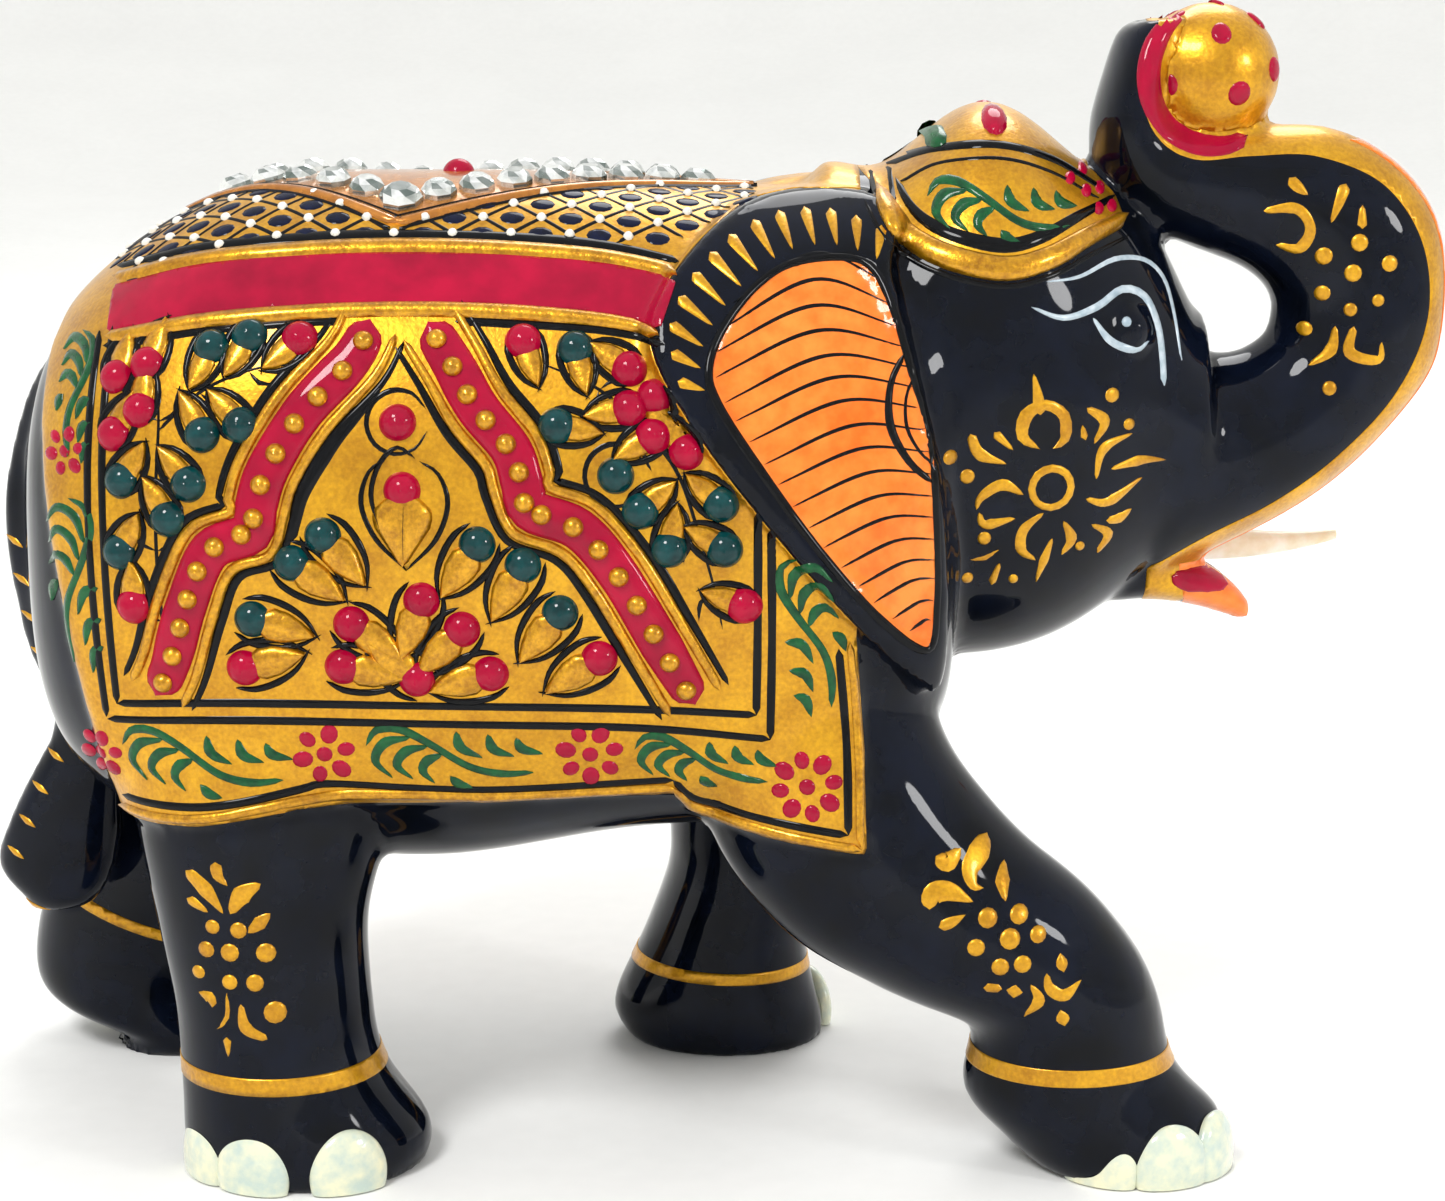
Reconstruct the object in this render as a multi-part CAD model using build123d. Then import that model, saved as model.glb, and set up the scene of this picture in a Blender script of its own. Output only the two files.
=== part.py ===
from build123d import *
import math
import os

# Carved and painted wooden elephant, trunk raised, holding a ball.
# Millimetres, +Z up, the elephant walks along +X, its right side faces -Y.

# --- driving dimensions -----------------------------------------------------
BODY_HALF_WIDTH = 27.0      # barrel of the body, without the saddle cloth
CLOTH_RELIEF = 1.1          # how far the carved saddle cloth stands proud
RIBBON_RELIEF = 0.7         # height of the red relief ribbons on the cloth
PIPING_RELIEF = 0.8         # height of the piped gold lines on the cloth
EAR_RELIEF = 3.2            # how far the ears stand off the neck
EAR_RIM_DEPTH = 0.8         # the painted face is sunk this far inside the rim
BALL_RADIUS = 6.7
TUSK_RADIUS = 2.2           # at the root
TUSK_TIP_RADIUS = 0.5
TUSK_PEG_RADIUS = 1.0
TUSK_PEG_LENGTH = 4.0
TUSK_PEG_CLEARANCE = 0.05
STONE_RADIUS = 1.6          # flat-back crystals round the medallion
CORNER_STONE_RADIUS = 2.05
DROP_RADIUS = 1.75          # enamel drops
BEAD_RADIUS = 0.95          # gold beads along the ribbons
PETAL_LENGTH = 4.4          # embossed teardrop petals
PETAL_ROUND = 1.6           # radius across a petal before its back is cut flat
PETAL_HEIGHT = 0.9          # how far a petal swells from the cloth
PETAL_GAP = 0.12            # clearance between a petal and its drop
GLUE_GAP = 0.02             # glue line under everything set on the carving
PETAL_OFFSET = 0.55         # share of its length from drop to petal middle
BLOB_SUNK = 0.25            # share of its radius that a blob's centre is sunk
RIBBON_WIDTH = 3.1
PIPING_WIDTH = 1.0
PIPING_OFFSET = 2.3         # from the middle of a ribbon to its piping
STRIP_INNER_Y = 4.0         # strips are cut from the relief shell outside this
PIPING_GAP = 0.15           # bare strip between a ribbon and its piping
MIDDLE_DROP_RADIUS = 1.6    # red drop in the middle of the diamond
PIPING_STEPS = 6            # spans that a line of piping is drawn with
BEAD_PITCH = 2.75
STONE_PITCH = 3.75
CRYSTAL_SKIRT = 0.5         # straight edge of a crystal above its glued back
CRYSTAL_HEIGHT_SHARE = 0.55 # crown height as a share of the radius
CRYSTAL_TABLE_SHARE = 0.45  # radius of the flat table as a share of the radius
NAIL_WIDTH = 7.6
NAIL_HEIGHT = 9.0
NAIL_THICKNESS = 1.6
NAIL_RISE = 1.6             # height of a nail's middle above the ground
NAIL_FLOOR_GAP = 0.15       # nails stop this far above the ground
EYE_X = 39.7
EYE_Y = 13.2
EYE_Z = 80.6
EYE_RADIUS = 2.2
TUSK_ROOT = (47.8, 8.6, 56.6)
TUSK_DIRECTION = (1.0, 0.1, 0.0)
TUSK_LENGTH = 17.0
TUSK_BEND = -3.0            # sag of the tusk's middle below a straight line
TUSK_STEPS = 4
TUSK_SEAT_MARGIN = 0.2      # the seat round the tusk's root is this much wider
SECTION_POINTS = 20         # points on each closed section spline
RIB_SPACING = 4.0           # distance between the ribs of a limb
EAR_ROOT_Y = 4.0            # the ears run into the neck to here
OUTSIDE_Y = 40.0            # well outside the widest point
ABOVE_Z = 200.0             # well above the highest point
CUT_BLOCK = 20.0            # block that cuts the back of a small shape flat
GROUND_BLOCK = 400.0        # block that stands for the ground under the feet
BALL_CENTRE = (48.5, 0.0, 103.8)

# Body sections: x, underside z, ridge z, half width as a share of the barrel.
TORSO = [
    (-66.6, 51.0, 68.5, 0.20),
    (-65.0, 44.5, 74.0, 0.42),
    (-61.4, 37.0, 81.0, 0.69),
    (-54.6, 32.0, 87.0, 0.88),
    (-45.4, 29.2, 91.6, 0.975),
    (-34.4, 28.2, 93.3, 1.0),
    (-18.4, 28.8, 93.3, 1.0),
    (-4.4, 31.0, 92.5, 0.99),
    (7.6, 31.6, 91.9, 0.975),
    (16.0, 34.0, 93.0, 0.93),
    (23.5, 44.0, 94.0, 0.74),
]
BACK_SQUARENESS = 2.2       # the back is nearly a round arch
BELLY_SQUARENESS = 2.9      # the belly is boxier
# Head sections: x, jaw z, crown z, half width in mm.
HEAD = [
    (9.6, 46.5, 92.6, 18.0),
    (15.6, 46.8, 94.8, 20.0),
    (22.1, 46.9, 98.8, 20.6),
    (27.6, 47.2, 101.0, 20.0),
    (33.1, 48.6, 98.0, 18.6),
    (38.6, 51.6, 93.6, 15.8),
    (43.6, 55.4, 88.6, 12.6),
    (48.4, 58.2, 81.0, 10.2),
]
HEAD_SQUARENESS = 2.3

# Limb ribs: ((x, z) behind, (x, z) in front, centre y, half depth in y).
RIGHT_HIND = [
    ((-57.0, 48.0), (-28.0, 46.0), -14.0, 11.0),
    ((-54.6, 34.5), (-30.5, 33.0), -16.0, 10.3),
    ((-52.5, 23.5), (-32.6, 23.0), -17.0, 9.6),
    ((-51.0, 14.0), (-32.0, 13.0), -17.5, 9.3),
    ((-50.8, 7.0), (-29.4, 7.0), -17.5, 9.8),
    ((-50.8, 3.0), (-27.0, 3.2), -17.5, 10.2),
    ((-49.6, 0.0), (-27.8, 0.0), -17.5, 9.5),
]
RIGHT_FRONT = [
    ((-3.0, 44.0), (20.0, 55.0), -13.5, 10.8),
    ((1.0, 31.5), (22.4, 43.4), -15.5, 10.6),
    ((8.0, 22.8), (29.2, 33.8), -17.0, 10.0),
    ((17.5, 17.4), (37.6, 26.4), -17.5, 9.5),
    ((25.8, 13.0), (43.2, 18.2), -17.5, 8.8),
    ((24.9, 8.0), (45.4, 10.2), -17.5, 8.7),
    ((28.4, 3.2), (50.0, 4.0), -17.5, 8.8),
    ((33.4, 0.0), (50.0, 0.0), -17.5, 7.8),
]
LEFT_FRONT = [
    ((-8.0, 46.0), (18.0, 50.0), 13.5, 10.8),
    ((-4.2, 31.0), (15.5, 33.0), 15.5, 10.2),
    ((-4.0, 21.5), (12.3, 22.0), 16.9, 9.2),
    ((-6.6, 12.5), (10.6, 12.0), 17.6, 8.9),
    ((-9.8, 5.0), (11.6, 5.0), 17.8, 9.0),
    ((-10.4, 2.4), (12.6, 2.4), 17.8, 9.0),
    ((-8.0, 0.0), (12.4, 0.0), 17.8, 8.2),
]
LEFT_HIND = [
    ((-62.0, 48.0), (-36.0, 44.0), 13.5, 11.0),
    ((-64.0, 33.0), (-43.0, 28.0), 15.5, 10.2),
    ((-67.6, 22.5), (-49.0, 16.0), 16.9, 9.3),
    ((-72.2, 14.0), (-52.5, 9.0), 17.6, 9.0),
    ((-72.8, 8.2), (-51.5, 5.0), 17.8, 9.1),
    ((-68.0, 2.6), (-50.0, 2.2), 17.8, 9.0),
    ((-64.5, 0.0), (-51.0, 0.0), 17.8, 8.2),
]
TRUNK = [
    ((43.6, 53.5), (45.1, 79.0), 0.0, 11.0),
    ((50.1, 57.4), (49.5, 76.6), 0.0, 9.4),
    ((56.6, 60.6), (51.8, 76.8), 0.0, 8.4),
    ((63.1, 65.4), (54.0, 77.8), 0.0, 7.7),
    ((69.0, 72.0), (55.2, 79.2), 0.0, 7.2),
    ((72.3, 80.6), (55.4, 81.6), 0.0, 7.0),
    ((71.2, 89.0), (54.2, 83.7), 0.0, 6.9),
    ((66.4, 95.6), (52.0, 85.3), 0.0, 6.8),
    ((58.8, 98.8), (49.0, 86.5), 0.0, 6.7),
    ((51.6, 98.9), (44.4, 88.2), 0.0, 6.8),
    ((46.8, 98.6), (40.0, 90.6), 0.0, 7.0),
    ((44.4, 100.4), (37.4, 95.6), 0.0, 7.3),
    ((44.0, 103.6), (37.4, 101.4), 0.0, 7.2),
    ((45.2, 106.8), (39.2, 105.8), 0.0, 6.2),
    ((46.0, 109.0), (42.4, 108.6), 0.0, 3.6),
]
TAIL = [
    ((-62.6, 79.4), (-57.4, 75.0), 0.0, 2.0),
    ((-67.2, 72.0), (-59.9, 70.0), 0.0, 2.4),
    ((-69.8, 60.0), (-60.9, 59.0), 0.0, 2.4),
    ((-68.5, 48.5), (-60.4, 46.5), 0.5, 2.5),
    ((-66.2, 39.5), (-58.9, 38.5), 2.0, 2.7),
    ((-70.0, 31.5), (-59.9, 31.5), 3.5, 3.4),
    ((-72.6, 25.5), (-60.4, 26.0), 4.2, 3.8),
    ((-72.8, 20.8), (-61.9, 21.2), 4.2, 3.2),
    ((-70.2, 18.6), (-64.9, 18.6), 4.2, 1.8),
]
LIP = [
    ((40.1, 52.0), (44.1, 58.0), 0.0, 6.4),
    ((45.6, 52.2), (48.6, 56.2), 0.0, 4.9),
    ((50.4, 51.0), (52.4, 53.8), 0.0, 2.9),
    ((53.8, 49.8), (54.4, 51.2), 0.0, 1.0),
]

EAR_OUTLINE = [
    (14.5, 93.4), (8.0, 93.4), (3.2, 92.0), (-0.8, 89.0), (-3.8, 85.2), (-5.0, 81.9),
    (-4.0, 78.2), (-0.4, 72.5), (5.0, 65.4), (11.3, 58.0), (17.8, 50.9), (21.4, 48.0),
    (22.4, 53.2), (22.2, 61.0), (21.3, 68.4), (19.6, 75.7), (18.0, 82.7), (17.2, 88.0),
    (17.4, 92.0),
]
EAR_FACE_OUTLINE = [
    (14.4, 87.6), (8.7, 87.6), (5.0, 85.8), (1.8, 82.2), (0.4, 78.7), (1.2, 75.6),
    (5.0, 69.8), (10.4, 62.4), (15.9, 56.0), (20.4, 52.6), (21.2, 57.2), (21.0, 64.7),
    (20.4, 72.0), (18.6, 78.3), (16.8, 84.2),
]
# Saddle cloth, seen from the side: hem with its step, then over the back.
CLOTH_OUTLINE = [
    (-62.2, 78.0), (-62.0, 72.0), (-61.0, 64.0), (-59.4, 55.0), (-57.6, 46.0), (-55.6, 35.6),
    (-47.0, 36.0), (-37.8, 37.6), (-19.0, 37.8), (-2.4, 38.2), (-1.0, 35.6), (14.9, 33.6),
    (14.6, 44.0), (13.8, 54.0), (13.8, 80.0), (15.0, 100.0), (-56.0, 100.0), (-61.0, 84.0),
]


# Motifs on the right side of the cloth, in the plan of that side (x, z).
# Each ribbon is an upper and a lower arc that meet in the shoulder of the arch.
RIBBONS = {
    "rear": (
        [(-30.2, 82.4), (-31.8, 79.3), (-36.1, 74.7), (-39.3, 69.6), (-40.5, 66.4), (-40.3, 63.8)],
        [(-40.3, 64.0), (-44.7, 62.2), (-47.1, 57.0), (-48.8, 51.6), (-50.2, 48.6)],
    ),
    "front": (
        [(-25.0, 82.2), (-22.7, 78.8), (-20.4, 75.0), (-17.4, 71.4), (-16.4, 68.4), (-16.2, 65.4)],
        [(-16.2, 65.8), (-11.4, 64.3), (-8.0, 60.4), (-4.3, 54.1), (-0.9, 48.0)],
    ),
}
# Enamel drops: x, z, and the direction in degrees of the petal that each one tips.
RED_DROPS = [
    (-32.0, 55.6, -35), (-25.6, 57.8, -110), (-22.0, 55.1, -135), (-32.9, 51.6, -10),
    (-26.2, 50.4, 140), (-19.5, 50.9, 195), (-41.9, 51.4, 15), (-9.6, 52.3, 212),
    (-27.2, 67.8, -90), (-36.6, 81.0, 220), (-50.8, 78.5, 65), (-53.8, 77.2, 70),
    (-51.3, 74.5, 80), (-53.8, 72.3, 60), (-52.1, 56.8, 90), (-16.4, 80.8, -70),
    (-6.8, 78.4, 150), (-6.8, 75.0, 190), (-4.5, 76.0, -80), (-4.6, 72.6, 210),
    (-1.6, 71.2, 125), (3.6, 57.2, 160),
]
GREEN_DROPS = [
    (-44.7, 80.2, 245), (-41.2, 81.2, 240), (-45.3, 72.6, 120), (-41.8, 73.5, 135),
    (-53.0, 68.2, 55), (-46.6, 68.2, 130), (-48.6, 65.0, 120), (-53.3, 61.7, 60),
    (-34.4, 63.7, -50), (-37.3, 61.2, -35), (-41.0, 56.0, -15), (-20.5, 62.9, 235),
    (-16.4, 61.0, 240), (-13.1, 56.6, 230), (-11.7, 80.2, -75), (-13.3, 73.5, -10),
    (-5.8, 65.9, 40), (1.5, 66.5, 140), (-3.2, 62.4, 80), (1.8, 62.4, 150),
]
# Two drops sit in a painted ring with no petal behind them.
RED_RING_DROP = (-27.6, 73.8)
GREEN_RING_DROP = (-8.0, 69.1)
# Crystal diamond on the back, in plan (x, y): rear, right, front and left corners.
DIAMOND = [(-45.5, 0.0), (-28.5, -11.0), (-0.8, 0.0), (-28.5, 11.0)]
BAND_EDGES = [
    [(-54.4, 85.2), (-46.8, 87.4), (-37.3, 88.6), (-28.0, 88.9), (-18.9, 88.7), (-3.4, 87.1)],
    [(-54.4, 80.8), (-46.1, 82.5), (-36.8, 83.4), (-27.7, 83.7), (-18.6, 83.5), (-4.4, 81.9)],
]
DIAMOND_MIDDLE = (-24.0, 0.0)
# Toenails: degrees round each foot's sole from straight ahead, outer side.
HIND_NAILS = [-150, -113, -64]
FRONT_NAILS = [-119, -71, -30]


def section_face(x, low, high, half_width, upper_squareness, lower_squareness):
    """A rounded section of the body or head, across the length at x."""
    middle = (low + high) / 2
    half_height = (high - low) / 2
    points = []
    for step in range(SECTION_POINTS):
        angle = 2 * math.pi * step / SECTION_POINTS
        power = 2 / (upper_squareness if math.sin(angle) > 0 else lower_squareness)
        across = math.copysign(abs(math.cos(angle)) ** power, math.cos(angle))
        up = math.copysign(abs(math.sin(angle)) ** power, math.sin(angle))
        points.append((half_width * across, middle + half_height * up))
    plane = Plane(origin=(x, 0, 0), x_dir=(0, 1, 0), z_dir=(1, 0, 0))
    return plane * make_face(Spline(*points, periodic=True))


def torso(grow=0.0):
    """The barrel of the body, or a copy of it grown outwards by a relief."""
    faces = []
    for x, low, high, share in TORSO:
        half_width = BODY_HALF_WIDTH * share + grow
        section = (x, low - grow, high + grow, half_width, BACK_SQUARENESS, BELLY_SQUARENESS)
        faces.append(section_face(*section))
    return loft(faces)


def head():
    """Head and neck down to the root of the trunk."""
    faces = []
    for x, low, high, half_width in HEAD:
        faces.append(section_face(x, low, high, half_width, HEAD_SQUARENESS, HEAD_SQUARENESS))
    return loft(faces)


def slopes_through(values, stations):
    """Slopes of a smooth curve through the values that never overshoots them."""
    rises = [
        (values[i + 1] - values[i]) / (stations[i + 1] - stations[i])
        for i in range(len(values) - 1)
    ]
    slopes = [rises[0]]
    for before, after in zip(rises, rises[1:]):
        turns_back = before * after <= 0
        slopes.append(0.0 if turns_back else 2 * before * after / (before + after))
    slopes.append(rises[-1])
    return slopes


def curve_value(values, slopes, stations, where):
    """The value of that curve at one distance along the limb."""
    span = 0
    while span < len(stations) - 2 and stations[span + 1] < where:
        span += 1
    length = stations[span + 1] - stations[span]
    t = (where - stations[span]) / length
    start = (2 * t**3 - 3 * t**2 + 1) * values[span] + (t**3 - 2 * t**2 + t) * length * slopes[span]
    end = (3 * t**2 - 2 * t**3) * values[span + 1] + (t**3 - t**2) * length * slopes[span + 1]
    return start + end


def even_ribs(ribs):
    """The same limb with ribs every few millimetres, so that its loft is even."""
    columns = list(zip(*[(*back, *front, y, depth) for back, front, y, depth in ribs]))
    middles = [
        Vector((back[0] + front[0]) / 2, y, (back[1] + front[1]) / 2)
        for back, front, y, depth in ribs
    ]
    stations = [0.0]
    for before, after in zip(middles, middles[1:]):
        stations.append(stations[-1] + (after - before).length)
    slopes = [slopes_through(column, stations) for column in columns]
    count = max(2, round(stations[-1] / RIB_SPACING))
    ribs_out = []
    for step in range(count + 1):
        where = stations[-1] * step / count
        ribs_out.append(
            [curve_value(column, slope, stations, where) for column, slope in zip(columns, slopes)]
        )
    return ribs_out


def limb(ribs, grow=0.0):
    """A rounded limb through oval ribs, each given by its two edge points."""
    faces = []
    for back_x, back_z, front_x, front_z, y, half_depth in even_ribs(ribs):
        start = Vector(back_x, y, back_z)
        end = Vector(front_x, y, front_z)
        along = end - start
        plane = Plane(origin=(start + end) / 2, x_dir=along, z_dir=along.cross(Vector(0, 1, 0)))
        faces.append(plane * Ellipse(along.length / 2 + grow, half_depth + grow))
    return loft(faces)


def side_prism(face, inner_y, outer_y):
    """A flat outline on the right side, pulled out from inner_y to outer_y."""
    return extrude(Plane.XZ.offset(inner_y) * face, amount=outer_y - inner_y)


def ear():
    """The right ear: a carved plate over the neck, its face sunk inside a rim."""
    outline = side_prism(make_face(Spline(*EAR_OUTLINE, periodic=True)), EAR_ROOT_Y, OUTSIDE_Y)
    face = side_prism(make_face(Spline(*EAR_FACE_OUTLINE, periodic=True)), EAR_ROOT_Y, OUTSIDE_Y)
    sunk = face - torso(EAR_RELIEF - EAR_RIM_DEPTH)
    return (torso(EAR_RELIEF) & outline) - sunk


def left_of(part):
    """The same piece on the left side."""
    return mirror(part, about=Plane.XZ)


def cloth(limbs):
    """The saddle cloth: a low relief over the barrel and the roots of the legs."""
    outline = Plane.XZ * make_face(Polyline(*CLOTH_OUTLINE, close=True))
    prism = extrude(outline, amount=OUTSIDE_Y, both=True)
    covered = torso(CLOTH_RELIEF)
    for ribs in limbs:
        covered += limb(ribs, CLOTH_RELIEF)
    return covered & prism


def body():
    """The carving: one block of wood from tail to trunk tip, ball included."""
    limbs = [RIGHT_HIND, RIGHT_FRONT, LEFT_FRONT, LEFT_HIND]
    carved = torso() + head() + limb(TRUNK) + limb(TAIL) + limb(LIP)
    for ribs in limbs:
        carved += limb(ribs)
    carved += cloth(limbs)
    right_ear = ear()
    carved += right_ear + left_of(right_ear)
    carved += Pos(*BALL_CENTRE) * Sphere(BALL_RADIUS)
    for side in (-1, 1):
        carved += Pos(EYE_X, side * EYE_Y, EYE_Z) * Sphere(EYE_RADIUS)
    return carved


def tusk_frame():
    """The root of the left tusk, with z pointing out along it."""
    return Plane(origin=TUSK_ROOT, x_dir=(0, 1, 0), z_dir=TUSK_DIRECTION)


def tusk():
    """The left tusk: a curved taper on a round peg."""
    sections = []
    for step in range(TUSK_STEPS + 1):
        share = step / TUSK_STEPS
        radius = TUSK_RADIUS + (TUSK_TIP_RADIUS - TUSK_RADIUS) * share
        rise = TUSK_BEND * (share - share**2)
        sections.append(Pos(0, rise, TUSK_LENGTH * share) * Circle(radius))
    peg = Pos(0, 0, -TUSK_PEG_LENGTH) * extrude(Circle(TUSK_PEG_RADIUS), amount=TUSK_PEG_LENGTH)
    return tusk_frame() * (loft(sections) + peg)


def tusk_socket():
    """What is drilled out of the carving so that the tusk seats on a flat."""
    bore_depth = TUSK_PEG_LENGTH + TUSK_PEG_CLEARANCE
    bore = Pos(0, 0, -bore_depth) * extrude(
        Circle(TUSK_PEG_RADIUS + TUSK_PEG_CLEARANCE), amount=bore_depth
    )
    counterbore = extrude(Circle(TUSK_RADIUS + TUSK_SEAT_MARGIN), amount=TUSK_LENGTH)
    return tusk_frame() * (bore + counterbore)


def side_seat(surface, x, z):
    """The point and outward direction on the right side at (x, z)."""
    hits = surface.find_intersection_points(Axis((x, -OUTSIDE_Y, z), (0, 1, 0)))
    point, normal = min(hits, key=lambda hit: hit[0].Y)
    return point, normal if normal.Y < 0 else -normal


def top_seat(surface, x, y):
    """The point and upward direction on the back at (x, y)."""
    hits = surface.find_intersection_points(Axis((x, y, ABOVE_Z), (0, 0, -1)))
    point, normal = max(hits, key=lambda hit: hit[0].Z)
    return point, normal if normal.Z > 0 else -normal


def strips(shell, lines, width):
    """Flat-topped strips of relief along lines drawn on the side."""
    drawn = trace([Spline(*line) for line in lines], width)
    return side_prism(drawn, STRIP_INNER_Y, OUTSIDE_Y) & shell


def dome_shape(radius):
    """A round blob with a flat back, standing on the plane z = 0."""
    ball = Pos(0, 0, -radius * BLOB_SUNK) * Sphere(radius)
    return ball - Box(CUT_BLOCK, CUT_BLOCK, CUT_BLOCK, align=(Align.CENTER, Align.CENTER, Align.MAX))


def petal_shape():
    """A flat-backed swelling along x, hollowed at one end for its drop."""
    oval = Ellipse(PETAL_LENGTH / 2, PETAL_ROUND)
    outline = oval - Rectangle(CUT_BLOCK, CUT_BLOCK, align=(Align.CENTER, Align.MAX))
    swelling = Pos(0, 0, PETAL_HEIGHT - PETAL_ROUND) * revolve(outline, axis=Axis.X)
    swelling -= Box(CUT_BLOCK, CUT_BLOCK, CUT_BLOCK, align=(Align.CENTER, Align.CENTER, Align.MAX))
    drop = Pos(-PETAL_LENGTH * PETAL_OFFSET, 0, -DROP_RADIUS * BLOB_SUNK)
    return swelling - drop * Sphere(DROP_RADIUS + PETAL_GAP)


def crystal_shape(radius):
    """One flat-back crystal, its girdle wide and its table small."""
    skirt = Cylinder(radius, CRYSTAL_SKIRT, align=(Align.CENTER, Align.CENTER, Align.MIN))
    crown = Pos(0, 0, CRYSTAL_SKIRT) * Cone(
        radius,
        radius * CRYSTAL_TABLE_SHARE,
        radius * CRYSTAL_HEIGHT_SHARE,
        align=(Align.CENTER, Align.CENTER, Align.MIN),
    )
    return skirt + crown


def on_side(surface, x, z, shape):
    """A small flat-backed shape set on the right side at (x, z)."""
    point, normal = side_seat(surface, x, z)
    return Plane(origin=point, z_dir=normal) * shape


def on_back(surface, x, y, shape):
    """A small flat-backed shape set on the back at (x, y)."""
    point, normal = top_seat(surface, x, y)
    return Plane(origin=point, z_dir=normal) * shape


def petal(surface, x, z, degrees, shape):
    """A petal that runs away from the drop at (x, z) in one direction."""
    reach = PETAL_LENGTH * PETAL_OFFSET
    heading = Vector(math.cos(math.radians(degrees)), 0, math.sin(math.radians(degrees)))
    point, normal = side_seat(surface, x + reach * heading.X, z + reach * heading.Z)
    along = (heading - normal * heading.dot(normal)).normalized()
    return Plane(origin=point, x_dir=along, z_dir=normal) * shape


def crystals(surface):
    """The large corner crystals and the small ones between them."""
    big_shape = crystal_shape(CORNER_STONE_RADIUS)
    small_shape = crystal_shape(STONE_RADIUS)
    large = [on_back(surface, x, y, big_shape) for x, y in (DIAMOND[1], DIAMOND[3])]
    small = [on_back(surface, x, y, small_shape) for x, y in (DIAMOND[0], DIAMOND[2])]
    corners = [Vector(x, y) for x, y in DIAMOND]
    for start, end in zip(corners, corners[1:] + corners[:1]):
        gaps = round((end - start).length / STONE_PITCH)
        for step in range(1, gaps):
            place = start + (end - start) * (step / gaps)
            small.append(on_back(surface, place.X, place.Y, small_shape))
    return large, small


def beads(surface, lines):
    """Gold beads at an even pitch along the middle of each ribbon."""
    shape = dome_shape(BEAD_RADIUS)
    blobs = []
    for line in lines:
        curve = Spline(*line)
        count = int(curve.length / BEAD_PITCH)
        for step in range(count):
            place = curve @ ((step + 0.5) / count)
            blobs.append(on_side(surface, place.X, place.Y, shape))
    return blobs


def toenails(ribs, angles):
    """Thick enamel nails round one foot, at angles from straight ahead."""
    back, front, y, half_depth = ribs[-1]
    half_length = (front[0] - back[0]) / 2
    swelling = scale(Sphere(1), by=(NAIL_THICKNESS, NAIL_WIDTH / 2, NAIL_HEIGHT / 2))
    ground = Box(GROUND_BLOCK, GROUND_BLOCK, GROUND_BLOCK, align=(Align.CENTER, Align.CENTER, Align.MAX))
    floor = Pos(0, 0, NAIL_FLOOR_GAP) * ground
    foot = limb(ribs, GLUE_GAP)
    nails = []
    for angle in angles:
        turn = math.radians(angle)
        x = back[0] + half_length * (1 + math.cos(turn))
        facing = math.atan2(math.sin(turn) * half_length, math.cos(turn) * half_depth)
        nail = Pos(x, y + half_depth * math.sin(turn), NAIL_RISE) * Rot(0, 0, math.degrees(facing))
        nails.append(nail * swelling - foot - floor)
    return nails


def solids_of(parts):
    """Every solid of several parts as one group of separate solids."""
    return Compound(children=[solid for part in parts for solid in part.solids()])


def save(name, shape):
    """Write one node, with its solids told apart by the node's name."""
    export_step(shape, os.path.join("parts", name + ".step"))


def both_sides(name, parts):
    """Write a group of right-side pieces and its mirror image on the left."""
    save(name + "_right", solids_of(parts))
    save(name + "_left", solids_of([left_of(part) for part in parts]))


def piping_lines(line):
    """The two edges beside a ribbon that its gold piping follows."""
    curve = Spline(*line)
    edges = ([], [])
    for step in range(PIPING_STEPS + 1):
        share = step / PIPING_STEPS
        place = curve @ share
        run = curve % share
        sideways = Vector(-run.Y, run.X) * PIPING_OFFSET
        for edge, offset in zip(edges, (sideways, -sideways)):
            spot = place + offset
            edge.append((spot.X, spot.Y))
    return edges


def ribbon_lines():
    """Every arc of every ribbon."""
    return [line for lines in RIBBONS.values() for line in lines]


def save_motifs(surface):
    """Enamel drops and the embossed petals that they tip; returns them all."""
    drop = dome_shape(DROP_RADIUS)
    swelling = petal_shape()
    red = [on_side(surface, x, z, drop) for x, z, degrees in RED_DROPS]
    red.append(on_side(surface, *RED_RING_DROP, drop))
    green = [on_side(surface, x, z, drop) for x, z, degrees in GREEN_DROPS]
    green.append(on_side(surface, *GREEN_RING_DROP, drop))
    petals = [petal(surface, *place, swelling) for place in RED_DROPS + GREEN_DROPS]
    both_sides("petals", petals)
    both_sides("red_drops", red)
    both_sides("green_drops", green)
    return petals + red + green


def save_ribbons(surface, keep_clear):
    """Red ribbons with their beads, and the gold piping beside them."""
    ribbon_shell = torso(CLOTH_RELIEF + RIBBON_RELIEF) - surface
    piping_shell = torso(CLOTH_RELIEF + PIPING_RELIEF) - surface
    for end, lines in RIBBONS.items():
        both_sides("ribbon_" + end, [strips(ribbon_shell, lines, RIBBON_WIDTH)])
    bead_surface = torso(CLOTH_RELIEF + RIBBON_RELIEF + GLUE_GAP)
    both_sides("ribbon_beads", beads(bead_surface, ribbon_lines()))
    edges = [edge for line in ribbon_lines() for edge in piping_lines(line)]
    drawn = trace([Spline(*line) for line in ribbon_lines()], RIBBON_WIDTH + 2 * PIPING_GAP)
    beside = side_prism(drawn, STRIP_INNER_Y, OUTSIDE_Y)
    bands = strips(piping_shell, BAND_EDGES, PIPING_WIDTH)
    both_sides("band_piping", [bands])
    piping = strips(piping_shell, edges, PIPING_WIDTH) - bands - beside - keep_clear
    both_sides("ribbon_piping", [piping])


def save_crystals(surface):
    """Crystals of the diamond on the back, and the red drop in its middle."""
    large, small = crystals(surface)
    save("crystals_large", solids_of(large))
    save("crystals_small", solids_of(small))
    save("medallion_drop", on_back(surface, *DIAMOND_MIDDLE, dome_shape(MIDDLE_DROP_RADIUS)))


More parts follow.
